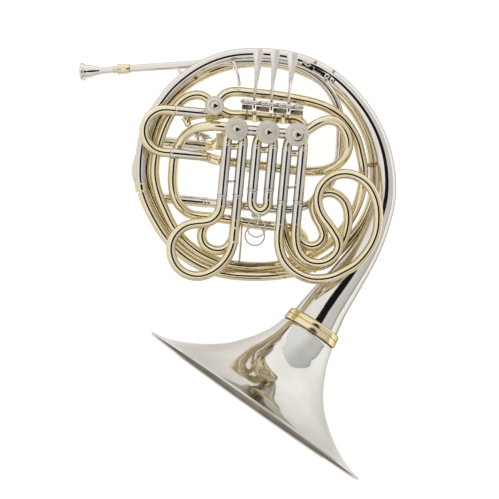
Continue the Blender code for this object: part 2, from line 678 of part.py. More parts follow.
tube("valve_crossover",
     [(223.5, 112.0, 2), (229, 114.2, 2), (240, 115, 2), (260, 117, 2), (280, 118.7, 2),
      (295, 119.6, 2), (305, 121, 2), (311.5, 124.8, 2), (313, 130, 2),
      (310.8, 134, 2), (307.1, 135, 2)], BRASS)
tube("f_tuning_return",
     [(171.0, side_y(171.0, AUX_LOW), 14, SLEEVE_R), (198.0, side_y(198.0, AUX_LOW), 14, SLEEVE_R),
      (199.0, side_y(199.0, AUX_LOW), 14, 5.6), (203.5, 156.3, 12.8), (207.5, 157.4, 8),
      (211.5, 158.6, 0.5), (215.5, 159.8, -6.5), (220, 160.8, -10.6), (226, 161.6, -12),
      (234, 162.3, -12), (248, 163.7, -12), (263, 165.9, -12), (280, 168.4, -12),
      (293, 170, -12), (305, 171.3, -11.6), (316, 171.3, -7), (327, 169.6, -1),
      (337, 165, 4), (344.5, 157, 8), (348, 148, 11), (347.5, 138, 13), (343.5, 129, 15),
      (336.5, 122.5, 18), (328, 120.5, 21), (318.5, 123.6, 24), (307.2, 131.6, 24)], BRASS,
     bore=stepped_bore, hard=(1, 2))
tube("change_valve_link_tube",
     [(205.6, 110.6, 2), (201, 114.6, 2), (194, 116.6, 2), (188.8, 118.6, 2),
      (187.0, 122.2, 2), (189.2, 125.4, 2.5)],
     BRASS, radius=4.0, wall=0.7)
turned("tail_ferrule", put(141.2, 187.4, 0), way(0.16, 0.987),
       [(-5.0, 6.9), (5.0, 6.9), (5.0, 7.7), (-5.0, 7.7)], BRASS, sides=16)

# ------------------------------------------------------------ lever cluster
HINGE_A, HINGE_B = (240.5, 101.4, LEVER_W), (303.5, 108.2, LEVER_W)


def hinge_y(x):
    return HINGE_A[1] + (HINGE_B[1] - HINGE_A[1]) * (x - HINGE_A[0]) / (HINGE_B[0] - HINGE_A[0])


hinge_mid = put(272.0, hinge_y(272.0), LEVER_W)
hinge_way = (put(*HINGE_B) - put(*HINGE_A)).normalized()
rod("lever_hinge_rod", [HINGE_A, HINGE_B], NICKEL, 1.1, sides=8)
LEVERS = {  # plate corners and spine, from the finger end to the hinge
    1: dict(left=[(252.9, 50), (254, 60), (254.6, 70), (254.4, 85)],
            right=[(264, 50), (262.2, 60), (260.6, 70), (257.6, 85)], hinge=254.0, tail=247.0),
    2: dict(left=[(270, 51), (270.8, 61), (271.4, 71), (270.9, 85)],
            right=[(280.6, 51), (278.6, 61), (276.8, 71), (274.2, 85)], hinge=271.2, tail=275.6),
    3: dict(left=[(286, 54), (287.6, 63), (288.6, 72), (288.4, 85)],
            right=[(299, 54), (296.6, 63), (294.6, 72), (291.7, 85)], hinge=288.4, tail=300.0),
}
for number, lever in LEVERS.items():
    hx = lever["hinge"]
    hy = hinge_y(hx)
    outline = lever["left"] + [(hx - 1.3, hy - 3.5)]
    outline += [(hx + 1.3, hy - 3.5)] + list(reversed(lever["right"]))
    made = prism(f"finger_lever_{number}", outline, LEVER_W - 1.0, LEVER_W + 1.2, NICKEL,
                 origin=put(hx, hy, LEVER_W))
    knuckle = turned(f"knuckle_{number}", put(hx, hy, LEVER_W), hinge_way,
                     [(-3.4, 1.45), (3.4, 1.45), (3.4, 3.0), (-3.4, 3.0)], NICKEL, sides=12, hide=True)
    joint = prism(f"lever_neck_{number}",
                  [(hx - 1.3, hy - 1.9), (hx + 1.3, hy - 1.9), (hx + 1.3, hy - 4.2), (hx - 1.3, hy - 4.2)],
                  LEVER_W - 0.9, LEVER_W + 1.1, NICKEL, hide=True)
    arm = prism(f"lever_arm_{number}",
                [(hx - 1.1, hy + 5.6), (hx + 1.1, hy + 5.6), (hx + 1.1, hy + 1.9), (hx - 1.1, hy + 1.9)],
                LEVER_W - 0.9, LEVER_W + 0.9, NICKEL, hide=True)
    join(made, joint)
    join(made, knuckle)
    join(made, arm)
    turned(f"lever_link_{number}", put(hx, hy + 4.6, 0), UP,
           [(CASE_LOW - 2.0, 0.0), (CASE_LOW - 2.0, 1.0), (LEVER_W - 2.4, 1.0), (LEVER_W - 2.4, 0.0)],
           STEEL, sides=6, origin=put(hx, hy + 4.6, LEVER_W - 2.4))

# the bracket under the hinge rod: a bar with three posts and their eyes
bracket = bar("lever_bracket", (245.5, hinge_y(245.5) + 1.0, LEVER_W - 9.0),
              (299.0, hinge_y(299.0) + 1.0, LEVER_W - 9.0), 2.6, 2.6, NICKEL, hide=False)
for k, x in enumerate((247.5, 263.0, 280.5, 296.5)):
    post = prism(f"hinge_post_{k}",
                 [(x - 1.4, hinge_y(x) + 2.4), (x + 1.4, hinge_y(x) + 2.4),
                  (x + 1.4, hinge_y(x) - 2.4), (x - 1.4, hinge_y(x) - 2.4)],
                 LEVER_W - 9.6, LEVER_W + 2.2, NICKEL, hide=True)
    join(bracket, post)
join(bracket, turned("hinge_bore", put(*HINGE_A), hinge_way,
                     [(-6, 0.0), (-6, 1.45), (90, 1.45), (90, 0.0)][::-1], NICKEL, sides=12, hide=True),
     "DIFFERENCE")

# thumb lever, behind the change valve
THUMB_AT = (203.5, 135.0, -38.0)
thumb = turned("thumb_lever", put(*THUMB_AT), way(0.94, 0.34),
               [(-7, 1.5), (7, 1.5), (7, 3.4), (-7, 3.4)], NICKEL, sides=12, origin=put(*THUMB_AT))
join(thumb, prism("thumb_paddle",
                  [(194.5, 158.0), (207.0, 161.5), (206.0, 144.5), (205.8, 138.6), (202.0, 137.2), (198.0, 146.0)],
                  -39.6, -37.2, NICKEL, hide=True))
rod("thumb_lever_pin", [(195.5, 132.1, -38), (211.5, 137.9, -38)], NICKEL, 1.1, sides=8)

# finger hook on the top of the tail
HOOK = [(232.5, 62.0, 9.0), (234.0, 63.5, 13.5), (236.5, 70.0, 17.5), (238.6, 78.0, 18.5),
        (239.4, 86.0, 16.5)]
rod("finger_hook", HOOK, NICKEL, 1.7, sides=8)

# pull rings on the second valve's two slides


def pull_ring(name, x, y, w, radius):
    centre = put(x, y, w)
    verts, faces = [], []
    around, sides, wire = 16, 6, 0.0009
    for k in range(around):
        angle = 2 * math.pi * k / around
        out = Vector((math.cos(angle), math.sin(angle), 0))
        for s in range(sides):
            turn = 2 * math.pi * s / sides
            verts.append(centre + out * (radius * GRID + wire * math.cos(turn)) + UP * wire * math.sin(turn))
    for k in range(around):
        for s in range(sides):
            a, b = k * sides + s, k * sides + (s + 1) % sides
            c, d = ((k + 1) % around) * sides + s, ((k + 1) % around) * sides + (s + 1) % sides
            faces.append((a, c, d, b))
    return add(name, verts, faces, NICKEL, centre)


pull_ring("f_slide_2_pull_ring", 256.5, 228.0, STOREY_F, 9.0)
pull_ring("b_slide_2_pull_ring", 254.8, 235.8, STOREY_B, 9.6)
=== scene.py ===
"""The looks of the double french horn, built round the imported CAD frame.

Every piece is drawn on the CAD design's layout grid: x runs right, y runs
down and w, in millimetres, is the height towards the rotor caps.
"""

import math

import bpy
from mathutils import Matrix, Vector, noise


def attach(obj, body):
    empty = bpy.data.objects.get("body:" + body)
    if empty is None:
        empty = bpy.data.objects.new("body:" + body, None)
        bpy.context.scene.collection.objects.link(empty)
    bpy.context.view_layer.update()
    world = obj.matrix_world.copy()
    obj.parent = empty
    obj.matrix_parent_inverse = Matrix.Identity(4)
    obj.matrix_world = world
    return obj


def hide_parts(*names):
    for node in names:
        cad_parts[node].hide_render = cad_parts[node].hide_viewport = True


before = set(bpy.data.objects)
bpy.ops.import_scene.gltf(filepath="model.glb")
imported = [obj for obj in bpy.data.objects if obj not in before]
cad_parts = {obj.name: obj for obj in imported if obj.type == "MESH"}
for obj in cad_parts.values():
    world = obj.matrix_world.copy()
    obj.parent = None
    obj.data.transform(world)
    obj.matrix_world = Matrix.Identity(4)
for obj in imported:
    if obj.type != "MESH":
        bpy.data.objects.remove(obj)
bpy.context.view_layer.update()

# ------------------------------------------------------- the CAD's own layout
GRID = 0.00122
TUBE_R = 5.9
WALL = 0.9
LEG_R = 5.2
SLEEVE_R = 6.2
SLEEVE_BORE = 5.55
STOREY_F = 26.0
STOREY_B = 13.2
CASE_LOW, CASE_TOP = -14.0, 34.0
BELL_R = 155.5
BELL_WALL = 0.7
LEVER_W = 30.0
REST_TILT = -15.8176
REST_ROLL = 4.6612
REST_MOVE = (0.020384, 0.019457, 0.09484)
REST = Matrix.Rotation(math.radians(REST_ROLL), 4, "Y") @ Matrix.Rotation(
    math.radians(REST_TILT), 4, "X"
)
UP = Vector((0.0, 0.0, 1.0))
NORMAL = (REST @ UP).normalized()


def put(x, y, w):
    return Vector(((x - 250.0) * GRID, (250.0 - y) * GRID, w * 0.001))


def rest(p):
    return REST @ Vector(p) + Vector(REST_MOVE)


def way(x, y, w=0.0):
    return Vector((x, -y, w)).normalized()


# ------------------------------------------------------------------- camera
camera = bpy.data.objects.new("camera", bpy.data.cameras.new("camera"))
bpy.context.scene.collection.objects.link(camera)
AWAY = 8.0
camera.matrix_world = Matrix.Translation(rest(put(249.5, 249.5, 0)) + NORMAL * AWAY) @ REST
camera.data.sensor_width = 36.0
camera.data.lens = 36.0 * AWAY / (499.0 * GRID)
camera.data.clip_end = 60.0
bpy.context.scene.camera = camera
bpy.context.scene.view_settings.view_transform = "Standard"


# ---------------------------------------------------------------- node tools
class Nodes:
    """Short calls for building a node tree."""

    def __init__(self, tree):
        self.tree = tree

    def make(self, kind, **values):
        node = self.tree.nodes.new(kind)
        for key, value in values.items():
            setattr(node, key, value)
        return node

    def link(self, a, b):
        self.tree.links.new(a, b)

    def put(self, socket, value):
        if hasattr(value, "is_output") and value.is_output:
            self.link(value, socket)
        else:
            socket.default_value = value

    def math(self, operation, a, b=None, c=None, clamp=False):
        node = self.make("ShaderNodeMath", operation=operation, use_clamp=clamp)
        self.put(node.inputs[0], a)
        if b is not None:
            self.put(node.inputs[1], b)
        if c is not None:
            self.put(node.inputs[2], c)
        return node.outputs[0]

    def dot(self, vector, direction):
        node = self.make("ShaderNodeVectorMath", operation="DOT_PRODUCT")
        self.link(vector, node.inputs[0])
        node.inputs[1].default_value = tuple(direction)
        return node.outputs["Value"]

    def ramp(self, value, low, high, to_low=0.0, to_high=1.0, smooth=True):
        node = self.make("ShaderNodeMapRange", clamp=True)
        node.interpolation_type = "SMOOTHSTEP" if smooth else "LINEAR"
        self.put(node.inputs["Value"], value)
        node.inputs["From Min"].default_value = low
        node.inputs["From Max"].default_value = high
        node.inputs["To Min"].default_value = to_low
        node.inputs["To Max"].default_value = to_high
        return node.outputs["Result"]

    def noise(self, vector, scale, detail=3.0, rough=0.55):
        node = self.make("ShaderNodeTexNoise")
        self.link(vector, node.inputs["Vector"])
        node.inputs["Scale"].default_value = scale
        node.inputs["Detail"].default_value = detail
        node.inputs["Roughness"].default_value = rough
        return node.outputs["Fac"]

    def stretch(self, vector, scale, turn=(0.0, 0.0, 0.0)):
        node = self.make("ShaderNodeMapping")
        self.link(vector, node.inputs["Vector"])
        node.inputs["Scale"].default_value = scale
        node.inputs["Rotation"].default_value = turn
        return node.outputs["Vector"]

    def mix(self, share, a, b):
        node = self.make("ShaderNodeMix", data_type="RGBA")
        self.put(node.inputs["Factor"], share)
        for socket, value in ((node.inputs[6], a), (node.inputs[7], b)):
            if isinstance(value, tuple):
                value = (*value[:3], 1.0)
            self.put(socket, value)
        return node.outputs[2]


# -------------------------------------------------------------- studio light
def studio():
    world = bpy.data.worlds.new("studio")
    bpy.context.scene.world = world
    world.use_nodes = True
    tree = world.node_tree
    tree.nodes.clear()
    n = Nodes(tree)
    ray = n.make("ShaderNodeTexCoord").outputs["Generated"]
    over = n.dot(ray, NORMAL)
    side = n.dot(ray, (REST @ Vector((1, 0, 0))).normalized())
    rise = n.dot(ray, (REST @ Vector((0, 1, 0))).normalized())
    # a dark opening in the white tent straight above the horn
    hole = n.dot(ray, (REST @ Vector((0.17, -0.03, 1.0)).normalized()).normalized())
    dark = n.ramp(hole, math.cos(math.radians(23.0)), math.cos(math.radians(19.5)), 1.0, 0.01)
    # the tent is a little dimmer low on the right and towards the far end
    right = n.ramp(side, 0.2, 0.75, 1.0, 0.70)
    left = n.ramp(n.math("MULTIPLY", side, -1.0), 0.55, 0.9, 1.0, 0.9)
    near = n.ramp(n.math("MULTIPLY", rise, -1.0), 0.3, 0.9, 1.0, 0.78)
    level = n.math("MULTIPLY", n.math("MULTIPLY", right, left), near)
    low = n.ramp(over, -0.05, 0.30, 0.66, 1.0)
    level = n.math("MULTIPLY", level, low)
    level = n.math("MULTIPLY", level, dark)
    level = n.math("MULTIPLY", level, 0.97)
    back = n.make("ShaderNodeBackground")
    tint = n.mix(n.ramp(over, -0.4, 0.8), (0.985, 0.98, 0.965), (1.0, 1.0, 1.0))
    n.link(tint, back.inputs["Color"])
    n.link(level, back.inputs["Strength"])
    out = n.make("ShaderNodeOutputWorld")
    n.link(back.outputs[0], out.inputs["Surface"])


studio()


def floor():
    size = 3.0
    mesh = bpy.data.meshes.new("floor")
    verts, faces = [], []
    rings, around = 6, 48
    verts.append((0.0, 0.0, 0.0))
    for r in range(1, rings + 1):
        for k in range(around):
            a = 2 * math.pi * k / around
            verts.append((size * r / rings * math.cos(a), size * r / rings * math.sin(a), 0.0))
    for k in range(around):
        faces.append((0, 1 + k, 1 + (k + 1) % around))
    for r in range(rings - 1):
        for k in range(around):
            a, b = 1 + r * around + k, 1 + r * around + (k + 1) % around
            faces.append((a, a + around, b + around, b))
    mesh.from_pydata(verts, [], faces)
    made = bpy.data.objects.new("floor", mesh)
    bpy.context.scene.collection.objects.link(made)
    made.location = (0.0, 0.0, -0.0002)
    paper = bpy.data.materials.new("pale_paper")
    paper.use_nodes = True
    tree = paper.node_tree
    tree.nodes.clear()
    n = Nodes(tree)
    where = n.make("ShaderNodeTexCoord").outputs["Object"]
    shade = n.ramp(n.noise(where, 3.0), 0.2, 0.8, 0.97, 1.0)
    colour = n.mix(shade, (0.93, 0.93, 0.93), (0.97, 0.97, 0.965))
    body = n.make("ShaderNodeBsdfDiffuse")
    n.link(colour, body.inputs["Color"])
    glow = n.make("ShaderNodeEmission")
    glow.inputs["Color"].default_value = (1.0, 1.0, 1.0, 1.0)
    glow.inputs["Strength"].default_value = 0.80
    both = n.make("ShaderNodeAddShader")
    half = n.make("ShaderNodeMixShader")
    half.inputs[0].default_value = 0.5
    n.link(body.outputs[0], half.inputs[1])
    out = n.make("ShaderNodeOutputMaterial")
    n.link(half.outputs[0], both.inputs[0])
    n.link(glow.outputs[0], both.inputs[1])
    n.link(both.outputs[0], out.inputs["Surface"])
    mesh.materials.append(paper)
    return made


floor()


# ----------------------------------------------------------------- materials
def polished(name, pale, deep, rough=(0.05, 0.12), haze=0.02, bump=0.03, tarnish=(0.5, 0.42, 0.3),
             dirt=0.10, brushed=0.0, edge=(0.30, 0.27, 0.24)):
    """A polished metal: pale and deep are the two tones that it drifts
    between, tarnish gathers in soft patches, and fine hairlines run over it.
    edge tints its reflection dark at grazing angles: a painted dark outline
    that stands in for shade along each silhouette."""
    made = bpy.data.materials.new(name)
    made.use_nodes = True
    tree = made.node_tree
    tree.nodes.clear()
    n = Nodes(tree)
    where = n.make("ShaderNodeTexCoord").outputs["Object"]
    cloud = n.noise(where, 26.0, 4.0)
    colour = n.mix(n.ramp(cloud, 0.3, 0.7), pale, deep)
    patch = n.ramp(n.noise(where, 70.0, 6.0, 0.65), 0.56, 0.78, 0.0, dirt)
    colour = n.mix(patch, colour, tarnish)
    hair = n.noise(n.stretch(where, (60.0, 900.0, 900.0), (0.3, 0.2, 0.7)), 1.6, 2.0)
    cross = n.noise(n.stretch(where, (900.0, 70.0, 900.0), (0.1, 0.5, 0.2)), 1.6, 2.0)
    lines = n.math("MAXIMUM", n.ramp(hair, 0.62, 0.72), n.ramp(cross, 0.64, 0.74))
    spread = n.ramp(n.noise(where, 180.0, 5.0), 0.3, 0.75, rough[0], rough[1])
    spread = n.math("ADD", spread, n.math("MULTIPLY", lines, haze + brushed))
    shader = n.make("ShaderNodeBsdfPrincipled")
    n.link(colour, shader.inputs["Base Color"])
    shader.inputs["Metallic"].default_value = 1.0
    # the edge tint darkens the reflection at grazing angles: painted shade along the silhouettes
    shader.inputs["Specular Tint"].default_value = (*edge, 1.0)
    n.link(spread, shader.inputs["Roughness"])
    height = n.math("ADD", n.noise(where, 320.0, 3.0), n.math("MULTIPLY", lines, 0.35))
    ripple = n.make("ShaderNodeBump")
    ripple.inputs["Strength"].default_value = bump
    ripple.inputs["Distance"].default_value = 0.0004
    n.link(height, ripple.inputs["Height"])
    n.link(ripple.outputs["Normal"], shader.inputs["Normal"])
    out = n.make("ShaderNodeOutputMaterial")
    n.link(shader.outputs[0], out.inputs["Surface"])
    return made


NICKEL = polished("nickel_silver_polished", (0.82, 0.785, 0.735), (0.76, 0.725, 0.67),
                  tarnish=(0.62, 0.57, 0.48), dirt=0.14)
BELL_METAL = polished("nickel_silver_bell", (0.735, 0.72, 0.68), (0.68, 0.66, 0.62),
                      rough=(0.04, 0.09), tarnish=(0.6, 0.56, 0.48), dirt=0.10, bump=0.015,
                      edge=(0.68, 0.67, 0.645))
# a darker copy of the bell's nickel silver: painted shade for the inside of the bell
BELL_INSIDE_SHADED = polished("nickel_silver_bell_inside_painted_shade", (0.40, 0.38, 0.34), (0.30, 0.28, 0.25),
                       rough=(0.16, 0.28), tarnish=(0.34, 0.30, 0.24), dirt=0.25, bump=0.03)
LEVER_METAL = polished("nickel_silver_satin", (0.90, 0.85, 0.81), (0.84, 0.785, 0.745),
                       rough=(0.22, 0.32), haze=0.05, tarnish=(0.6, 0.5, 0.44), dirt=0.15, bump=0.06)
BRASS = polished("yellow_brass_lacquered", (0.88, 0.79, 0.575), (0.83, 0.72, 0.48),
                 tarnish=(0.66, 0.48, 0.24), dirt=0.18)
RING_BRASS = polished("yellow_brass_ring", (0.92, 0.79, 0.52), (0.88, 0.73, 0.44),
                      rough=(0.14, 0.22), tarnish=(0.7, 0.52, 0.3), dirt=0.12)
SATIN_BRASS = polished("yellow_brass_satin", (0.90, 0.77, 0.50), (0.84, 0.70, 0.42), rough=(0.44, 0.56),
                       tarnish=(0.6, 0.42, 0.2), dirt=0.2, bump=0.08)
CAP_METAL = polished("rotor_cap_satin", (0.95, 0.895, 0.79), (0.87, 0.81, 0.71), rough=(0.44, 0.56),
                     haze=0.08, bump=0.12, tarnish=(0.5, 0.42, 0.4), dirt=0.25)
STEEL = polished("rotor_steel_ground", (0.56, 0.56, 0.57), (0.46, 0.46, 0.47), rough=(0.25, 0.4),
                 bump=0.1, tarnish=(0.3, 0.26, 0.22), dirt=0.3)
# near black: painted shade and a painted reflection on the rotor caps, also the dark line at each sleeve end and a few
# small dark parts
DARK = polished("near_black_parts_and_painted_shade", (0.03, 0.025, 0.02), (0.015, 0.012, 0.01), rough=(0.4, 0.6),
                tarnish=(0.03, 0.02, 0.02), dirt=0.5)
SOLDER = polished("solder_fillet", (0.62, 0.50, 0.33), (0.42, 0.33, 0.21), rough=(0.25, 0.4),
                  tarnish=(0.3, 0.2, 0.1), dirt=0.4, bump=0.1)


# -------------------------------------------------------------- mesh helpers
def solid(name, verts, faces, material, body, stands_for=(), sharp=40.0):
    """A finished piece; verts are in the horn's own frame."""
    placed = [rest(v) for v in verts]
    volume = 0.0
    for face in faces:
        for i in range(1, len(face) - 1):
            volume += placed[face[0]].dot(placed[face[i]].cross(placed[face[i + 1]]))
    if volume < 0:
        faces = [tuple(reversed(face)) for face in faces]
    mesh = bpy.data.meshes.new(name)
    mesh.from_pydata(placed, [], faces)
    mesh.validate()
    mesh.shade_smooth()
    mesh.set_sharp_from_angle(angle=math.radians(sharp))
    mesh.materials.append(material)
    made = bpy.data.objects.new(name, mesh)
    bpy.context.scene.collection.objects.link(made)
    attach(made, body)
    if stands_for:
        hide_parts(*stands_for)
    return made


def smooth(points, hard=(), steps=7):
    """Samples (x, y, z, r) of a smooth curve through the points."""
    count = len(points)
    gaps = [
        max((Vector(points[i + 1][:3]) - Vector(points[i][:3])).length, 1e-7)
        for i in range(count - 1)
    ]
    slopes = []
    for i in range(count):
        if i == 0:
            slopes.append([(points[1][k] - points[0][k]) / gaps[0] for k in range(4)])
        elif i == count - 1:
            slopes.append([(points[-1][k] - points[-2][k]) / gaps[-1] for k in range(4)])
        else:
            before, after = gaps[i - 1], gaps[i]
            slopes.append(
                [
                    (
                        (points[i][k] - points[i - 1][k]) / before * after
                        + (points[i + 1][k] - points[i][k]) / after * before
                    )
                    / (before + after)
                    for k in range(4)
                ]
            )
    samples = []
    for i in range(count - 1):
        many = steps if gaps[i] > 0.004 else 2
        for j in range(many):
            t = j / many
            a = 2 * t**3 - 3 * t**2 + 1
            b = t**3 - 2 * t**2 + t
            c = -2 * t**3 + 3 * t**2
            d = t**3 - t**2
            value = [
                a * points[i][k] + b * gaps[i] * slopes[i][k]
                + c * points[i + 1][k] + d * gaps[i] * slopes[i + 1][k]
                for k in range(3)
            ]
            value.append(points[i][3] * (1 - t) + points[i + 1][3] * t)
            samples.append(value)
    samples.append(list(points[-1]))
    return samples


def layout(points, radius=TUBE_R):
    return [(*put(*p[:3]), (p[3] if len(p) > 3 else radius) * 0.001) for p in points]


def frames(samples, flat=True):
    """Centre, across, lift and radius of each sample."""
    out = []
    last = len(samples) - 1
    for i in range(last + 1):
        a = Vector(samples[max(i - 1, 0)][:3])
        b = Vector(samples[min(i + 1, last)][:3])
        along = (b - a).normalized()
        if flat or not out:
            helper = UP if abs(along.dot(UP)) < 0.98 else Vector((1.0, 0.0, 0.0))
            across = helper.cross(along).normalized()
        else:
            across = out[-1][1]
            across = (across - along * across.dot(along)).normalized()
        out.append((Vector(samples[i][:3]), across, along.cross(across), samples[i][3], along))
    return out


def swept(samples, sides, wall=0.0009, deep=0.012, flat=True):
    """Vertices and faces of a tube.  Each open end shows its wall, and its
    bore goes on inside for a way before a plug closes it."""
    rings = frames(samples, flat)
    verts, faces = [], []

    def ring(centre, across, lift, size):
        first = len(verts)
        for k in range(sides):
            a = 2 * math.pi * (k + 0.5) / sides
            verts.append(centre + (across * math.cos(a) + lift * math.sin(a)) * size)
        return first

    def band(a, b):
        for k in range(sides):
            n = (k + 1) % sides
            faces.append((a + k, a + n, b + n, b + k))

    order = []
    start, end = rings[0], rings[-1]
    inner = max(start[3] - wall, start[3] * 0.4)
    order.append(ring(start[0] + start[4] * deep, start[1], start[2], inner))
    order.append(ring(start[0], start[1], start[2], inner))
    soft = min(0.0003, wall * 0.4)
    order.append(ring(start[0], start[1], start[2], start[3] - soft))
    order.append(ring(start[0] + start[4] * soft, start[1], start[2], start[3]))
    for centre, across, lift, radius, along in rings[1:-1]:
        order.append(ring(centre, across, lift, radius))
    order.append(ring(end[0] - end[4] * soft, end[1], end[2], end[3]))
    order.append(ring(end[0], end[1], end[2], end[3] - soft))
    inner = max(end[3] - wall, end[3] * 0.4)
    order.append(ring(end[0], end[1], end[2], inner))
    order.append(ring(end[0] - end[4] * deep, end[1], end[2], inner))
    for a, b in zip(order, order[1:]):
        band(a, b)
    faces.append(tuple(reversed(range(order[0], order[0] + sides))))
    faces.append(tuple(range(order[-1], order[-1] + sides)))
    return verts, faces


def tube(name, points, material, body="horn_body", stands_for=(), radius=TUBE_R, sides=28,
         wall=WALL, steps=7, deep=12.0, flat=True, dent=0.0):
    samples = smooth(layout(points, radius), steps=steps)
    if dent:  # hand-bent tubing is never quite even
        for i, s in enumerate(samples[3:-3]):
            s[3] += dent * 0.001 * noise.noise(Vector(s[:3]) * 45.0)
    verts, faces = swept(samples, sides, wall * 0.001, deep * 0.001, flat)
    return solid(name, verts, faces, material, body, stands_for)


def turned(name, centre, axis, profile, material, body="horn_body", stands_for=(), sides=64,
           sharp=40.0, flutes=None):
    """A closed profile of (distance along the axis, radius), millimetres,
    turned about the axis.  flutes(along, radius, angle) may vary the radius."""
    axis = Vector(axis).normalized()
    helper = UP if abs(axis.dot(UP)) < 0.9 else Vector((1.0, 0.0, 0.0))
    across = helper.cross(axis).normalized()
    lift = axis.cross(across)
    centre = Vector(centre)
    verts, painted_reflection = [], []
    for along, radius in profile:
        if radius <= 1e-9:
            painted_reflection.append([len(verts)])
            verts.append(centre + axis * along * 0.001)
            continue
        ring = []
        for k in range(sides):
            angle = 2 * math.pi * k / sides
            size = radius if flutes is None else flutes(along, radius, angle)
            ring.append(len(verts))
            verts.append(centre + axis * along * 0.001
                         + (across * math.cos(angle) + lift * math.sin(angle)) * size * 0.001)
        painted_reflection.append(ring)
    faces = []
    for i in range(len(painted_reflection)):
        first, second = painted_reflection[i], painted_reflection[(i + 1) % len(painted_reflection)]
        if len(first) == 1 and len(second) == 1:
            continue
        for k in range(sides):
            n = (k + 1) % sides
            if len(first) == 1:
                faces.append((first[0], second[n], second[k]))
            elif len(second) == 1:
                faces.append((first[k], first[n], second[0]))
            else:
                faces.append((first[k], first[n], second[n], second[k]))
    return solid(name, verts, faces, material, body, stands_for, sharp)


def eased(profile, soft=0.35, steps=3, closed=True):
    """The same profile with its corners rounded over, so edges catch light."""
    out = []
    count = len(profile)
    for i, here in enumerate(profile):
        before, after = profile[i - 1], profile[(i + 1) % count]
        if here[1] <= 1e-9 or (not closed and i in (0, count - 1)):
            out.append(here)
            continue
        a = Vector(before) - Vector(here)
        b = Vector(after) - Vector(here)
        if a.length < 1e-6 or b.length < 1e-6:
            continue
        cut = min(soft, a.length * 0.4, b.length * 0.4)
        pa = Vector(here) + a.normalized() * cut
        pb = Vector(here) + b.normalized() * cut
        for j in range(steps + 1):
            t = j / steps
            p = pa * (1 - t) ** 2 + Vector(here) * 2 * t * (1 - t) + pb * t**2
            out.append((p[0], max(p[1], 0.001)))
    return out


def plate(name, outline, low, high, material, body="horn_body", stands_for=(), soft=0.5,
          dish=0.0, spine=0.0):
    """A plate on layout outline points between heights w, with its edges
    rounded over.  spine lifts the middle of the top face in mm."""
    count = len(outline)
    pts = [Vector((x, y)) for x, y in outline]
    middle = sum(pts, Vector((0.0, 0.0))) / count

    def inset(amount):
        out = []
        for i, p in enumerate(pts):
            a = (p - pts[i - 1]).normalized()
            b = (pts[(i + 1) % count] - p).normalized()
            na, nb = Vector((-a[1], a[0])), Vector((-b[1], b[0]))
            n = (na + nb)
            n = n.normalized() / max(0.5, (1 + na.dot(nb)) / 2) ** 0.5 if n.length > 1e-6 else na
            if (middle - p).dot(n) < 0:
                n = -n
            out.append(p + n * amount / 1.22)
        return out

    verts, rows = [], []
    levels = [(soft, low), (soft * 0.3, low + soft * 0.3), (0.0, low + soft),
              (0.0, high - soft), (soft * 0.3, high - soft * 0.3), (soft, high)]
    for amount, w in levels:
        rows.append(len(verts))
        verts += [put(p[0], p[1], w) for p in inset(amount)]
    faces = [tuple(reversed(range(count)))]
    for a, b in zip(rows, rows[1:]):
        for k in range(count):
            m = (k + 1) % count
            faces.append((a + k, a + m, b + m, b + k))
    if spine:
        top = len(verts)
        shrink = [p * 0.45 + middle * 0.55 for p in inset(soft)]
        verts += [put(p[0], p[1], high + spine) for p in shrink]
        a = rows[-1]
        for k in range(count):
            m = (k + 1) % count
            faces.append((a + k, a + m, top + m, top + k))
        faces.append(tuple(range(top, top + count)))
    else:
        faces.append(tuple(range(rows[-1], rows[-1] + count)))
    return solid(name, verts, faces, material, body, stands_for, 30.0)


def strut(name, points, wide, high, material, body="horn_body", soft=0.45, stands_for=()):
    """A flat strip along layout points (x, y, w), wide in the plane and high
    across it, in millimetres, with softened edges."""
    path = [Vector(put(*p[:3])) for p in points]
    wides = [p[3] if len(p) > 3 else wide for p in points]
    shape = []
    for cx, cy in ((1, 1), (-1, 1), (-1, -1), (1, -1)):
        for j in range(3):
            t = j / 2
            if (cx, cy) in ((1, 1), (-1, -1)):
                ox, oy = soft * t, soft * (1 - t)
            else:
                ox, oy = soft * (1 - t), soft * t
            shape.append((cx, cy, ox, oy))
    verts, faces, rings = [], [], []
    for i, p in enumerate(path):
        along = (path[min(i + 1, len(path) - 1)] - path[max(i - 1, 0)]).normalized()
        helper = UP if abs(along.dot(UP)) < 0.95 else Vector((0.0, 1.0, 0.0))
        across = helper.cross(along).normalized()
        lift = along.cross(across)
        rings.append(len(verts))
        for cx, cy, ox, oy in shape:
            dx = cx * (wides[i] / 2 - ox)
            dy = cy * (high / 2 - oy)
            verts.append(p + across * dx * 0.001 + lift * dy * 0.001)
    many = len(shape)
    for a, b in zip(rings, rings[1:]):
        for k in range(many):
            m = (k + 1) % many
            faces.append((a + k, a + m, b + m, b + k))
    faces.append(tuple(reversed(range(many))))
    faces.append(tuple(range(rings[-1], rings[-1] + many)))
    return solid(name, verts, faces, material, body, stands_for, 35.0)


def wire(name, points, radius, material, body="horn_body", stands_for=(), sides=16, steps=6):
    """A solid round wire or rod with domed ends."""
    samples = smooth(layout(points, radius), steps=steps)
    rings = frames(samples, True)
    verts, faces, order = [], [], []

    def ring(centre, across, lift, size):
        order.append(len(verts))
        for k in range(sides):
            a = 2 * math.pi * (k + 0.5) / sides
            verts.append(centre + (across * math.cos(a) + lift * math.sin(a)) * size)

    c, across, lift, r, along = rings[0]
    for t in (0.15, 0.5, 0.8):
        ring(c + along * r * (1 - math.sqrt(1 - (1 - t) ** 2)) * 0.6, across, lift, r * math.sin(math.acos(1 - t)) if t < 1 else r)
    for c, across, lift, r, along in rings[1:-1]:
        ring(c, across, lift, r)
    c, across, lift, r, along = rings[-1]
    for t in (0.8, 0.5, 0.15):
        ring(c - along * r * (1 - math.sqrt(1 - (1 - t) ** 2)) * 0.6, across, lift, r * math.sin(math.acos(1 - t)))
    for a, b in zip(order, order[1:]):
        for k in range(sides):
            m = (k + 1) % sides
            faces.append((a + k, a + m, b + m, b + k))
    faces.append(tuple(reversed(range(order[0], order[0] + sides))))
    faces.append(tuple(range(order[-1], order[-1] + sides)))
    return solid(name, verts, faces, material, body, stands_for, 50.0)


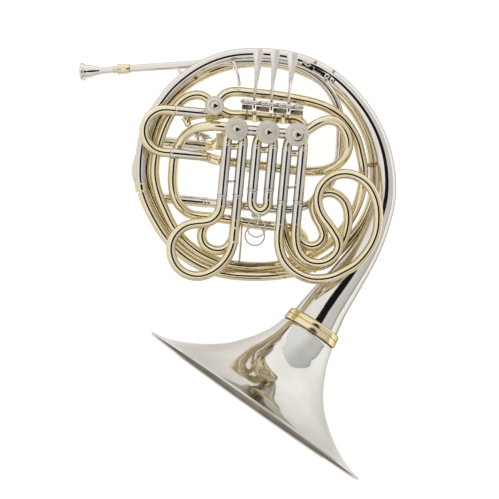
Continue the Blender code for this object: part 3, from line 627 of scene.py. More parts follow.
# ----------------------------------------------------------- the bell's tail
TAIL = [
    (314.66, 323.9, -10, 30.4), (327.3, 304.4, -9.5, 26.2), (347.8, 276.4, -8.5, 21.4),
    (366, 249.3, -6, 17.3), (378.6, 221.4, -4, 14.6), (384.7, 199.5, -3, 13.2),
    (386, 180, -2.5, 12.2), (384.8, 164.6, -2, 11.5), (381.5, 148.7, -1.5, 10.9),
    (376.2, 133.4, -1, 10.4), (369, 119, -0.6, 9.9), (359.7, 105, -0.3, 9.5),
    (348.5, 91.6, 0, 9.2), (335.3, 79.3, 0, 8.8), (321.4, 69.9, 0, 8.4),
    (305.3, 62.5, 0, 8.2), (288.3, 57.3, 0, 7.9), (269.4, 54.6, 0, 7.7),
    (250.3, 54.1, 0, 7.4), (230.9, 55.9, 0, 7.3), (214.1, 60.7, 0, 7.1), (198.3, 68.2, 0, 7.0),
    (183.8, 78.2, 0, 6.8), (172, 88.9, 0, 6.7), (161.4, 102.1, 0, 6.6),
    (151.6, 117.1, 0, 6.5), (144.9, 132.8, 0, 6.3), (141.5, 148.9, 0, 6.2),
    (140, 165, 0, 6.1), (140.2, 180, 0, 6.0), (141, 186, 0, 6.0),
]
RING_AT = (312.3, 327.5, -10.0)
RING_WAY = way(-0.548, 0.836, 0.09)
BELL_WAY = way(-0.577, 0.812, 0.048)
tube("bell_tail_skin", TAIL, NICKEL, stands_for=("bell_tail",), sides=72, wall=0.9, deep=4.0,
     steps=8)

ring_centre = put(*RING_AT)
# two plain turned rings that screw together
turned("tail_screw_ring_fine", ring_centre, RING_WAY,
       eased([(-7.4, 31.4), (-0.15, 32.2), (-0.15, 35.3), (-5.4, 34.7), (-6.6, 33.6), (-7.4, 32.0)],
             0.6, 3),
       RING_BRASS, stands_for=("tail_screw_ring",), sides=120)
turned("bell_screw_ring_fine", ring_centre, RING_WAY,
       eased([(0.25, 32.4), (7.9, 32.4), (7.9, 34.8), (6.9, 36.0), (0.25, 35.4)], 0.5, 3),
       RING_BRASS, "bell", ("bell_screw_ring",), sides=120)

# ---------------------------------------------------------------- bell flare
FLARE = [
    (0.3, 31.7), (7.5, 31.9), (8.6, 33.8), (10.5, 35.6), (16.0, 37.2), (24.4, 39.9), (32.0, 43.0),
    (39.0, 46.7), (47.0, 51.2), (55.0, 56.6), (61.5, 61.4), (67.5, 66.2), (73.5, 71.8),
    (79.5, 78.4), (85.5, 85.9), (91.5, 94.4), (97.0, 103.2), (101.5, 111.0), (105.8, 119.8),
    (109.0, 127.6), (112.3, 136.8), (114.6, 144.6), (116.2, 151.0), (117.0, 154.4),
]


def flare_ring(along, radius, sides):
    share = min(max(along / 60.0, 0.0), 1.0)
    share = share * share * (3 - 2 * share)
    axis = (RING_WAY * (1 - share) + BELL_WAY * share).normalized()
    end = put(255.2, 405.6, 1.7)
    straight = ring_centre + (end - ring_centre) * (along / 117.2)
    leave = ring_centre + RING_WAY * along * 0.001
    fade = max(0.0, 1.0 - along / 60.0)
    centre = straight * (1 - fade) + leave * fade
    across = UP.cross(axis).normalized()
    lift = axis.cross(across)
    return [
        centre + (across * math.cos(a) + lift * math.sin(a)) * radius * 0.001
        for a in (2 * math.pi * (k + 0.5) / sides for k in range(sides))
    ]


def bell_inside(outer, depth):
    """The profile set back from the outer skin along its normal."""
    out = []
    for i in range(1, len(outer) - 1):
        da, dr = outer[i + 1][0] - outer[i - 1][0], outer[i + 1][1] - outer[i - 1][1]
        long = math.hypot(da, dr)
        a, r = outer[i][0] + dr / long * depth, outer[i][1] - da / long * depth
        if outer[i][1] < 152.4:
            out.append((max(a, outer[0][0]), r))
    return out


def flare(name, sides=160):
    fine = smooth([(a, r, 0.0, 0.0) for a, r in FLARE], steps=4)
    outer = [(s[0], s[1]) for s in fine]
    inner = bell_inside(outer, BELL_WALL)
    inner.reverse()
    bead, radius, mid = [], 1.35, (117.9, BELL_R - 1.35)
    for j in range(11):
        t = math.radians(205.0 - 305.0 * j / 10)
        bead.append((mid[0] + radius * math.cos(t), mid[1] + radius * math.sin(t)))
    verts, faces, rings = [], [], []
    for along, size in outer[:-1] + bead + inner:
        rings.append(len(verts))
        verts += flare_ring(along, size, sides)
    for i in range(len(rings)):
        a, b = rings[i], rings[(i + 1) % len(rings)]
        for k in range(sides):
            n = (k + 1) % sides
            faces.append((a + k, a + n, b + n, b + k))
    return solid(name, verts, faces, BELL_METAL, "bell", ("bell_flare",), 60.0)


flare("bell_flare_skin")


def flare_shade_sheet(name, sides=160):
    """A thin sheet just inside the bell wall, rougher than the polished outside; its darker colour is painted shade of
    the bell's inside.
    """
    fine = smooth([(a, r, 0.0, 0.0) for a, r in FLARE[3:]], steps=4)
    outer = [(s[0], s[1]) for s in fine]
    front, back = bell_inside(outer, BELL_WALL + 0.03), bell_inside(outer, BELL_WALL + 0.2)
    verts, faces, rings = [], [], []
    for along, size in front + back[::-1]:
        rings.append(len(verts))
        verts += flare_ring(along, size, sides)
    for i in range(len(rings)):
        a, b = rings[i], rings[(i + 1) % len(rings)]
        for k in range(sides):
            n = (k + 1) % sides
            faces.append((a + k, a + n, b + n, b + k))
    return solid(name, verts, faces, BELL_INSIDE_SHADED, "bell", (), 60.0)


flare_shade_sheet("bell_flare_shade_sheet")

# ------------------------------------------------- mouthpiece and leadpipe
MOUTH_AT = put(80.0, 70.9, -43.6)
MOUTH_WAY = (put(130.1, 67.8, -31.0) - MOUTH_AT).normalized()
turned("mouthpiece_fine", MOUTH_AT, MOUTH_WAY,
       eased([(0.5, 9.4), (1.2, 8.7), (3.0, 8.5), (5.5, 8.0), (9.0, 6.9), (12.5, 5.3), (15.0, 3.6),
              (17.0, 2.3), (24.0, 2.2), (57.5, 3.0), (57.5, 3.9), (50.0, 4.15), (46.0, 4.3),
              (43.5, 4.35), (43.0, 4.9), (41.5, 4.9), (41.0, 4.3), (34.0, 4.1), (28.0, 4.2),
              (24.0, 4.6), (20.5, 5.4), (17.0, 6.4), (13.5, 7.2), (10.0, 7.8), (7.0, 8.2),
              (5.2, 8.9), (4.0, 10.2), (2.6, 10.8), (1.0, 10.7), (0.0, 10.0)], 0.5, 3),
       NICKEL, "mouthpiece", ("mouthpiece",), sides=72)
turned("mouthpiece_receiver_fine", MOUTH_AT, MOUTH_WAY,
       eased([(46.0, 4.75), (61.9, 4.7), (61.9, 5.1), (60.9, 5.5), (57.5, 6.0), (51.0, 6.15),
              (50.2, 6.6), (49.4, 6.15), (48.8, 6.6), (48.0, 6.15), (47.4, 6.6), (46.5, 6.4), (46.0, 5.8)], 0.3, 2),
       BRASS, "horn_body", ("mouthpiece_receiver",), sides=64)
LEADPIPE = [
    (129.9, 67.8, -31, 4.4), (144, 67.0, -27.4, 4.5), (159.4, 66.0, -23.6, 4.6),
    (184.7, 64.6, -17.8, 4.8), (205, 63.2, -14.4, 5.0), (225, 62, -13, 5.0),
    (250, 61.3, -13, 5.0), (270, 61.5, -13, 5.0), (285, 63.5, -13, 5.0),
    (298, 67, -13, 5.1), (308, 71.5, -13.3, 5.1), (317, 77.5, -13.6, 5.1),
    (325, 85, -14, 5.1), (331.5, 93.5, -14, 5.1), (336, 102, -14, 5.2),
    (339, 112, -14, 5.2), (340.5, 125, -14, 5.2), (340.5, 140, -14, 5.2),
    (339, 158, -14, 5.2), (335.5, 172, -14, 5.3), (330, 184, -14, 5.3),
    (322.5, 194, -14, 5.3), (313.5, 201.5, -14, 5.3), (303, 206.6, -14, 5.4),
    (291, 209.3, -14, 5.5), (275, 208.9, -14, 5.6), (250, 206.6, -15, 5.6),
    (228, 204.5, -17.6, 5.6), (217, 203.5, -21.4, 5.6), (210.5, 202.85, -22.9, 5.6),
    (206.0, 202.4, -23, 5.6),
]
tube("leadpipe_fine", LEADPIPE, NICKEL, stands_for=("leadpipe",), dent=0.05)

# ------------------------------------------------------------- rotary valves
VALVES = {
    1: (236.5, 129.5, 11.6, 14.6), 2: (268.0, 132.5, 11.6, 14.6),
    3: (297.0, 135.0, 11.6, 14.6), 4: (214.5, 106.0, 10.0, 11.8),
}
for number, (x, y, case_r, cap_r) in VALVES.items():
    base = put(x, y, 0)
    turned(f"rotor_casing_{number}_fine", base, UP,
           eased([(CASE_LOW, case_r - 0.8), (CASE_LOW, 3.5), (CASE_LOW + 1.8, 3.5),
                  (CASE_LOW + 1.8, case_r - 1.2), (CASE_TOP, case_r - 1.2), (CASE_TOP, case_r),
                  (CASE_TOP - 2.2, case_r + 0.5), (CASE_TOP - 3.0, case_r + 0.5),
                  (CASE_TOP - 3.8, case_r), (CASE_LOW + 3.8, case_r), (CASE_LOW + 3.0, case_r + 0.5),
                  (CASE_LOW + 0.9, case_r + 0.5)][::-1], 0.3, 2),
           BRASS, "horn_body", (f"rotor_casing_{number}",), sides=72)
    # a screw cap: knurled edge, sloped shoulder, shallow dish and a centre boss
    low, high = CASE_TOP + 0.3, CASE_TOP + 3.6
    boss = 5.6 if number == 3 else 4.0
    lip = 0.55 if number == 3 else 0.15
    profile = [(low, 0.0), (low, cap_r - 0.5), (low + 0.4, cap_r), (low + 1.7, cap_r),
               (low + 2.3, cap_r - 0.5), (low + 2.6, cap_r - 2.2), (low + 2.5, cap_r - 2.7),
               (low + 2.9, cap_r - 3.2), (high, boss + 2.6), (high - 0.1, boss + 1.3),
               (high - lip, boss + 0.5), (high - lip, boss + 0.1), (high + 0.5, boss - 0.5),
               (high + 0.95, boss - 1.6), (high + 1.05, 1.7), (high + 0.95, 0.9), (high + 0.5, 0.0)]

    def knurl(along, radius, angle, edge=cap_r, low=low):
        if radius < edge - 0.3 or not low + 0.3 < along < low + 2.0:
            return radius
        return radius - 0.22 * (0.5 + 0.5 * math.cos(angle * 48))

    turned(f"rotor_cap_{number}_fine", base, UP, profile[::-1], CAP_METAL, "horn_body",
           (f"rotor_cap_{number}",), sides=240, flutes=knurl, sharp=28.0)
    # a near-black triangle across the boss: a painted reflection
    plate(f"rotor_cap_{number}_index", [(x - 0.9, y + 3.1), (x + 4.1, y + 0.6), (x + 0.0, y - 2.0)],
          high + 0.2, high + 1.6, DARK, soft=0.12)
    if number == 3:  # a near-black crescent beside the third boss: painted shade in the groove
        outer, inner = [], []
        for j in range(15):
            a = math.radians(-12.0 + 140.0 * j / 14)
            swell = 0.75 * math.sin(math.pi * j / 14) ** 0.7
            outer.append((x - 0.2 + (6.2 + swell) * math.cos(a), y + (6.2 + swell) * math.sin(a)))
            inner.append((x - 0.2 + (6.1 - 0.3 * swell) * math.cos(a), y + (6.1 - 0.3 * swell) * math.sin(a)))
        plate("rotor_cap_3_groove_shade", outer + inner[::-1], high - 1.2, high + 0.15, DARK, soft=0.05)

for name, a, b in (("1_2", 1, 2), ("2_3", 2, 3)):
    xa, ya, ra = VALVES[a][0], VALVES[a][1], VALVES[a][2] / 1.22
    xb, yb, rb = VALVES[b][0], VALVES[b][1], VALVES[b][2] / 1.22
    gap = math.hypot(xb - xa, yb - ya)
    ux, uy = (xb - xa) / gap, (yb - ya) / gap
    ends = [(xa + ux * (ra + 0.1), ya + uy * (ra + 0.1)), (xb - ux * (rb + 0.1), yb - uy * (rb + 0.1))]
    for level, w in (("front", STOREY_F), ("back", STOREY_B)):
        middle = put((ends[0][0] + ends[1][0]) / 2, (ends[0][1] + ends[1][1]) / 2, w)
        half = (put(*ends[1], w) - put(*ends[0], w)).length * 500.0
        turned(f"valve_knuckle_{name}_{level}", middle, put(*ends[1], w) - put(*ends[0], w),
               eased([(-half, 4.7), (half, 4.7), (half, 6.3), (half - 1.2, 6.3), (half - 1.8, 6.2),
                      (1.3, 6.2), (0.9, 6.4), (-0.9, 6.4), (-1.3, 6.2), (1.8 - half, 6.2),
                      (1.2 - half, 6.3), (-half, 6.3)], 0.25, 2),
               NICKEL, "horn_body", (f"valve_knuckle_{name}",) if level == "front" else (), sides=48)


# ------------------------------------------------------------- valve slides
def leg_x(x180, y):
    return x180 - 0.0944 * (y - 180.0)


PAIRS = {
    "f_slide_1": (1, 223.6, 239.3, 197.0, STOREY_F),
    "f_slide_2": (2, 253.5, 269.7, 191.0, STOREY_F),
    "f_slide_3": (3, 284.1, 300.0, 203.0, STOREY_F),
    "b_slide_1": (1, 223.6, 239.3, 197.0, STOREY_B),
    "b_slide_2": (2, 253.5, 269.7, 191.0, STOREY_B),
    "b_slide_3": (3, 284.1, 300.0, 203.0, STOREY_B),
}
BARREL = 5.9


def sleeve(name, valve, x180, seam, storey, stands_for):
    """A brass elbow out of the casing, a ferrule, and the nickel sleeve with
    a turned collar at its open end."""
    cx, cy, case_r = VALVES[valve][:3]
    top = cy + 11.5
    bend_x = leg_x(x180, top)
    dx, dy = bend_x - cx, top - cy
    tube(f"{name}_elbow",
         [(cx + dx * 0.62, cy + dy * 0.30, storey, 5.6), (cx + dx * 0.88, cy + dy * 0.62, storey, 5.75),
          (bend_x, top, storey, 5.8), (leg_x(x180, top + 3), top + 3, storey, 5.8)],
         BRASS, sides=32, steps=8, deep=3.0)
    low = top + 1.2
    along = (put(leg_x(x180, seam), seam, storey) - put(leg_x(x180, low), low, storey))
    length = along.length * 1000.0
    body = [(0.0, 5.5), (length, 5.55), (length, 6.2), (length - 0.9, 6.38), (length - 1.9, 6.38),
            (length - 2.5, 6.15), (4.6, 6.15), (4.2, 6.35), (3.3, 6.35), (2.9, 6.15), (1.0, 6.1),
            (0.35, 5.95), (0.0, 5.8)]
    turned(f"{name}_barrel", put(leg_x(x180, low), low, storey), along, eased(body, 0.2, 2), NICKEL,
           "horn_body", stands_for, sides=56)
    # a near-black ring at the back of the collar, the thin dark line at the sleeve end
    turned(f"{name}_lip", put(leg_x(x180, seam), seam, storey), along,
           eased([(-2.75, 6.1), (-2.75, 6.42), (-2.35, 6.42), (-2.35, 6.1)], 0.08, 1), DARK, "horn_body",
           (), sides=48)


TIES = {1: ((146.8, 4.7, 3.9), (163.4, 4.6, 2.3)), 2: ((150.2, 4.7, 3.9), (166.4, 4.6, 2.3)),
        3: ((153.6, 4.5, 3.7), (170.0, 4.5, 2.3))}


def crossbar(name, left, right, y, w, foot, waist, material, inset=4.9):
    """A turned bar between two legs, spread into a foot at each."""
    a = put(leg_x(left, y), y, w)
    b = put(leg_x(right, y), y, w)
    a, b = a + (b - a).normalized() * inset * 0.001, b - (b - a).normalized() * inset * 0.001
    span = (b - a).length * 1000.0
    mid = (foot + waist) / 2.0
    profile = [(0.0, 0.0), (0.0, foot), (0.5, foot), (1.0, mid), (1.7, waist + 0.2), (2.6, waist),
               (span / 2 - 0.8, waist), (span / 2 - 0.5, waist + 0.35), (span / 2 + 0.5, waist + 0.35),
               (span / 2 + 0.8, waist), (span - 2.6, waist), (span - 1.7, waist + 0.2), (span - 1.0, mid),
               (span - 0.5, foot), (span, foot), (span, 0.0)]
    return turned(name, a, b - a, profile[::-1], material, "horn_body", (), 40, 30.0)


for name, (valve, left, right, seam, storey) in PAIRS.items():
    sleeve(f"{name}_left_sleeve", valve, left, seam, storey, (f"{name}_sleeves",))
    sleeve(f"{name}_right_sleeve", valve, right, seam, storey, ())
    if storey != STOREY_F:
        continue
    low = {1: 181.5, 2: 183.0, 3: 187.5}[valve]
    if valve != 2:
        crossbar(f"{name}_brace", left, right, low, storey, 5.2, 1.3, NICKEL)
    for k, (py, foot, waist) in enumerate(TIES[valve]):
        crossbar(f"{name}_tie_{k}", left, right, py, storey - 1.0, foot, waist, BRASS)

CROOKS = {
    "f_slide_1": [
        (221.0, 205), (219.8, 211.3), (216.5, 216.8), (211, 221.2), (204, 223), (197, 223.6),
        (187, 225.7), (179, 231), (173.5, 238.5), (171, 248), (172.5, 258), (177, 266.5),
        (184, 272.5), (193, 275.7), (202, 275.7), (211, 272.5), (219, 267), (226, 259.5),
        (230.5, 251.5), (233.2, 243), (234.3, 232), (235.4, 220), (236.6, 207)],
    "f_slide_2": [
        (251.6, 200), (252.5, 206), (255.5, 210), (260, 211.8), (264.5, 210), (267.4, 206),
        (268.0, 200)],
    "f_slide_3": [
        (281, 213), (279.7, 226), (278.5, 238), (279.3, 248), (283, 259), (290, 268), (300, 275),
        (310, 278.5), (320, 279), (332, 277), (344, 271.5), (355, 265), (364, 256),
        (372, 244), (376.5, 232), (378, 218), (377, 205), (373, 193), (366, 183),
        (356, 176.5), (345, 174), (334, 176), (325, 182), (319.5, 190), (317.5, 200),
        (319, 209), (323, 217), (329, 225), (334, 232.5), (338, 240), (338.5, 248),
        (335, 255), (328, 261), (318, 263.5), (309, 262), (301, 256), (296.8, 248),
        (295.3, 238), (295.8, 225), (297, 212)],
    "b_slide_1": [
        (221, 206), (217, 215), (209, 221.6), (203.5, 228), (201.7, 236), (204, 244),
        (210.5, 249), (218, 250.5), (226, 248), (232, 240), (235.3, 228), (236.2, 212)],
    "b_slide_2": [
        (251.7, 199), (252.3, 205), (255.2, 210), (259.8, 212), (264.4, 210), (267.3, 205),
        (267.9, 199)],
    "b_slide_3": [
        (281, 214), (283, 227), (286.8, 241), (293.5, 254), (303, 263), (314, 266.5),
        (328, 262.5), (339, 249), (346, 232), (348, 216), (344, 201.5), (334, 193.5),
        (323, 193.5), (315.3, 199), (313.2, 207), (316, 217), (321.5, 227.5),
        (323.5, 236), (320, 243), (311.5, 246.5), (304.5, 244.5), (299.5, 240),
        (296.6, 232), (296.3, 222), (297, 212)],
}
LEG_TOP = 164.0


def crook_path(name):
    valve, left, right, seam, storey = PAIRS[name]
    out = []
    for y, r in ((LEG_TOP, LEG_R), (LEG_TOP + 6, LEG_R), (seam + 0.3, LEG_R), (seam + 0.6, TUBE_R)):
        out.append((leg_x(left, y), y, storey, r))
    out.append((leg_x(left, seam + 3.0), seam + 3.0, storey, TUBE_R))
    for x, y in CROOKS[name]:
        out.append((x, y, storey, TUBE_R))
    out.append((leg_x(right, seam + 3.0), seam + 3.0, storey, TUBE_R))
    for y, r in ((seam + 0.6, TUBE_R), (seam + 0.3, LEG_R), (LEG_TOP + 6, LEG_R), (LEG_TOP, LEG_R)):
        out.append((leg_x(right, y), y, storey, r))
    return out


for name in PAIRS:
    tube(f"{name}_bow", crook_path(name), BRASS, name, (f"{name}_crook",), sides=32, dent=0.02)
    valve, left, right, seam, storey = PAIRS[name]
    for side, x180 in (("left", left), ("right", right)):
        # the nickel ferrule that joins the leg to the bow
        a = put(leg_x(x180, seam + 1.0), seam + 1.0, storey)
        reach = {1: 10.0, 2: 9.5, 3: 22.0}[valve] + (14.0 if valve == 1 and side == "right" else 0.0)
        b = put(leg_x(x180, seam + reach), seam + reach, storey)
        span = (b - a).length * 1000.0
        if storey != STOREY_F and valve == 3 and side == "left":
            continue
        turned(f"{name}_{side}_ferrule", a, b - a,
               eased([(0.0, 5.6), (span, 5.6), (span, 6.0), (span - 0.7, 6.12), (span - 1.4, 6.0),
                      (0.9, 6.0), (0.5, 6.15), (0.0, 6.05)], 0.18, 2),
               NICKEL, name, (), sides=48)


# ---------------------------------------------------------------- side slides
def side_y(x, y190):
    return y190 + 0.0951 * (x - 190.0)


def side_crook(name, node, upper, lower, seam_up, seam_low, inside, bend_x, w, body):
    out = [(inside, side_y(inside, upper), w, LEG_R), (inside - 5, side_y(inside - 5, upper), w, LEG_R),
           (seam_up - 0.3, side_y(seam_up - 0.3, upper), w, LEG_R),
           (seam_up - 0.6, side_y(seam_up - 0.6, upper), w, TUBE_R)]
    span = (lower - upper) * 0.9955 / 2.0
    middle = (bend_x, (side_y(bend_x, upper) + side_y(bend_x, lower)) / 2.0)
    for k in range(13):
        angle = math.pi * k / 12
        ex, ey = math.sin(angle) * span, math.cos(angle) * span
        out.append((middle[0] - ex * 0.9955 + ey * 0.0947, middle[1] - ex * 0.0947 - ey * 0.9955,
                    w, TUBE_R))
    out += [(seam_low - 0.6, side_y(seam_low - 0.6, lower), w, TUBE_R),
            (seam_low - 0.3, side_y(seam_low - 0.3, lower), w, LEG_R),
            (inside - 5, side_y(inside - 5, lower), w, LEG_R),
            (inside, side_y(inside, lower), w, LEG_R)]
    return tube(name, out, BRASS, body, (node,), sides=32, dent=0.04)


def side_sleeve(name, y190, seam, end, w, stands_for=()):
    a, b = put(seam, side_y(seam, y190), w), put(end, side_y(end, y190), w)
    span = (b - a).length * 1000.0
    return turned(name, a, b - a,
                  eased([(0.0, 5.55), (span, 5.5), (span, 6.15), (2.6, 6.15), (2.2, 6.4), (0.7, 6.4),
                         (0.0, 6.2)][::-1], 0.2, 2),
                  NICKEL, "horn_body", stands_for, sides=56)


MAIN_W, AUX_W = -23.0, 14.0
MAIN_UP, MAIN_LOW = 144.0, 200.85
AUX_UP, AUX_LOW = 112.2, 154.9
side_crook("main_tuning_bow", "main_tuning_slide", MAIN_UP, MAIN_LOW, 166.5, 166.5, 199.0, 164.5, MAIN_W,
           "main_slide")
side_sleeve("main_slide_lower_barrel", MAIN_LOW, 166.5, 205.0, MAIN_W, ("main_slide_lower_sleeve",))
side_sleeve("main_slide_upper_barrel", MAIN_UP, 166.5, 201.5, MAIN_W)
side_crook("f_tuning_bow", "f_tuning_slide", AUX_UP, AUX_LOW, 176.0, 171.0, 196.0, 165.5, AUX_W, "f_tuning")
side_sleeve("f_tuning_upper_barrel", AUX_UP, 176.0, 205.0, AUX_W, ("f_tuning_upper_sleeve",))
side_sleeve("f_tuning_lower_barrel", AUX_LOW, 171.0, 198.0, AUX_W)

# -------------------------------------------------------------- fixed tubing
tube("main_slide_elbow_fine",
     [(200.5, side_y(200.5, MAIN_UP), -23), (208, side_y(208, MAIN_UP), -22.5),
      (214, 144.5, -18), (218.5, 141.5, -9), (222.3, 138.0, -1.5), (228.2, 132.8, 0.0)],
     BRASS, stands_for=("main_slide_upper_sleeve",), flat=False)
tube("return_tube_fine",
     [(274.6, 226.4, -9.8), (262, 225.2, -9.8), (240, 221.5, -9.8), (225, 219, -9.8),
      (208, 216.9, -9.8), (200, 216.3, -9.6), (190, 214, -8), (182, 208.4, -5),
      (176, 200, -2.5), (173.3, 190, 0), (172.5, 180, 1), (173, 170, 1), (174, 160, 1),
      (177, 150, 1), (180, 143, 2), (184, 137, 5), (190, 132, 11), (197, 128.7, 17),
      (205, 127.2, 21.5), (214, 126.4, 24), (229.2, 128.0, 24)], BRASS, stands_for=("return_tube",),
     dent=0.05)
tube("f_branch_loop_fine",
     [(210.8, 102.0, 1.5), (204, 96.6, 1.5), (197, 95, 1.5), (188.5, 96.8, 1.5),
      (181.5, 101.5, 1.5), (175.5, 108, 1.5), (167, 122, 1.5), (160, 140, 1.5),
      (155.5, 160, 1.5), (154.6, 172, 1.5), (156, 184, 1.5), (160, 198, 1.5),
      (166, 212, 1.5), (173, 226, 1.5), (183, 239, 1.5), (197, 251, 1.5),
      (215, 260, 1.5), (238, 265.3, 1.5), (252, 266.4, 0.6), (264, 266.4, -3.2),
      (275, 265.4, -7.4), (284, 263.4, -9.8),
      (296, 258, -9.8), (303.5, 248, -9.8), (303.5, 238, -9.8), (297, 230, -9.8),
      (286, 227.4, -9.8), (275.2, 226.5, -9.8)], BRASS, stands_for=("f_branch_loop",), radius=5.65)
tube("b_branch_upper_fine",
     [(217.8, 102.0, 4), (225.5, 94.3, 4), (231.5, 92.2, 4), (240, 92, 4), (250, 93, 4),
      (260, 94, 4), (270, 95, 4), (280, 96.5, 4), (290, 98, 4), (300, 100, 4),
      (310, 102, 4), (320, 105, 4), (330, 109.5, 4), (340, 116, 3), (350, 127, 2),
      (357, 140, 2), (361, 155, 2), (363.5, 170, 2), (362.5, 185, 0), (359, 200, -4),
      (353, 214, -8), (344, 228, -12), (332, 241, -16), (317, 252, -20),
      (300, 261, -21.8), (283, 267, -21.8), (266, 269.3, -17.5), (256, 269.4, -13.6),
      (250.4, 269.2, -12.0)], BRASS, stands_for=("b_branch_upper",), dent=0.05)
tube("b_branch_circle_fine",
     [(249.4, 269.1, -11.8), (240, 268.2, -10.8), (225, 265.2, -10.5), (205, 258, -10.5),
      (185, 244.8, -10.5), (168, 226.8, -10.5), (156, 206, -10.5), (148.5, 187, -10.5),
      (146, 170, -10.5), (147.3, 158, -10.5), (150, 145, -10.5), (158, 120, -10.5),
      (170, 100.3, -11), (180, 90.5, -13), (190, 82.5, -16), (200, 76.5, -19.5),
      (210, 71.5, -23.2), (220, 67.5, -25.3), (232.2, 64.3, -25.6)], BRASS,
     stands_for=("b_branch_circle",), dent=0.05)
tube("b_branch_outer_fine",
     [(233.2, 64.1, -25.6), (250, 62, -25.6), (270, 62.3, -25.6), (290, 66, -25.6),
      (310, 73.5, -25.6), (330, 86, -24.6), (348, 102, -20.5), (361, 121.5, -17.5),
      (369.5, 141, -16), (373.3, 162, -16), (374, 180, -16), (372, 200, -16),
      (364, 220, -16), (350, 239.5, -15), (332, 257, -12.5), (310, 268, -10.5),
      (285, 274, -4), (265, 276, 0), (250, 276, 0), (230, 274.6, 0), (212, 270.6, 0),
      (190, 260.3, 0), (168, 240.5, 0), (155, 221, 0), (146.4, 204, 0), (143.4, 196, 0), (142.3, 192.4, 0)],
     BRASS, stands_for=("b_branch_outer",), dent=0.05)
tube("valve_crossover_fine",
     [(219.5, 109.6, 2), (229, 114.2, 2), (240, 115, 2), (260, 117, 2), (280, 118.7, 2),
      (291, 119.4, 2), (297, 120.4, 2), (301.6, 123.2, 2), (304.2, 128.0, 2),
      (304.4, 134.0, 2)], BRASS, stands_for=("valve_crossover",))
tube("f_tuning_return_fine",
     [(197.0, side_y(197.0, AUX_LOW), 14), (199.0, side_y(199.0, AUX_LOW), 14), (203.5, 156.3, 12.8),
      (207.5, 157.4, 8),
      (211.5, 158.6, 0.5), (215.5, 159.8, -6.5), (220, 160.8, -10.6), (226, 161.6, -12),
      (234, 162.3, -12), (248, 163.7, -12), (263, 165.9, -12), (280, 168.4, -12),
      (293, 170, -12), (305, 171.3, -11.6), (316, 171.3, -7), (327, 169.6, -1),
      (337, 165, 4), (344.5, 157, 8), (348, 148, 11), (347.5, 138, 13), (343.5, 129, 15),
      (336.5, 122.5, 18), (328, 120.5, 21), (318.5, 123.6, 24), (304.0, 133.0, 24)], BRASS,
     stands_for=("f_tuning_return",), dent=0.04)
tube("change_valve_link_fine",
     [(205.6, 110.6, 2), (201, 114.6, 2), (194, 116.6, 2), (188.8, 118.6, 2),
      (187.0, 122.2, 2), (189.2, 125.4, 2.5)],
     BRASS, radius=4.0, wall=0.7, stands_for=("change_valve_link_tube",))


def collar(name, at, along, radius, length, material=BRASS, body="horn_body", stands_for=(), proud=0.45):
    """A turned ferrule with a bead at each end."""
    half = length / 2.0
    big = radius + proud
    return turned(name, put(*at), along,
                  eased([(-half, radius - 0.1), (half, radius - 0.1), (half, big), (half - 0.9, big + 0.3),
                         (half - 1.7, big), (1.7 - half, big), (0.9 - half, big + 0.3), (-half, big)][::-1],
                        0.2, 2),
                  material, body, stands_for, sides=56)


collar("tail_ferrule_fine", (141.2, 187.4, 0), way(0.16, 0.987), 6.9, 10.4, BRASS, "horn_body",
       ("tail_ferrule",), 0.5)

# ------------------------------------------------------------ lever cluster
HINGE_A, HINGE_B = (240.5, 101.4, LEVER_W), (303.5, 108.2, LEVER_W)


def hinge_y(x):
    return HINGE_A[1] + (HINGE_B[1] - HINGE_A[1]) * (x - HINGE_A[0]) / (HINGE_B[0] - HINGE_A[0])


hinge_way = (put(*HINGE_B) - put(*HINGE_A)).normalized()
hinge_long = (put(*HINGE_B) - put(*HINGE_A)).length * 1000.0
turned("lever_hinge_rod_fine", put(*HINGE_A), hinge_way,
       eased([(0.0, 0.0), (0.0, 1.9), (1.6, 1.9), (1.6, 1.15), (hinge_long - 1.6, 1.15),
              (hinge_long - 1.6, 1.9), (hinge_long, 1.9), (hinge_long, 0.0)][::-1], 0.25, 2),
       NICKEL, "horn_body", ("lever_hinge_rod",), sides=32)
LEVERS = {
    1: dict(left=[(252.9, 50), (254, 60), (254.6, 70), (254.4, 85)],
            right=[(264, 50), (262.2, 60), (260.6, 70), (257.6, 85)], hinge=254.0),
    2: dict(left=[(270, 51), (270.8, 61), (271.4, 71), (270.9, 85)],
            right=[(280.6, 51), (278.6, 61), (276.8, 71), (274.2, 85)], hinge=271.2),
    3: dict(left=[(286, 54), (287.6, 63), (288.6, 72), (288.4, 85)],
            right=[(299, 54), (296.6, 63), (294.6, 72), (291.7, 85)], hinge=288.4),
}


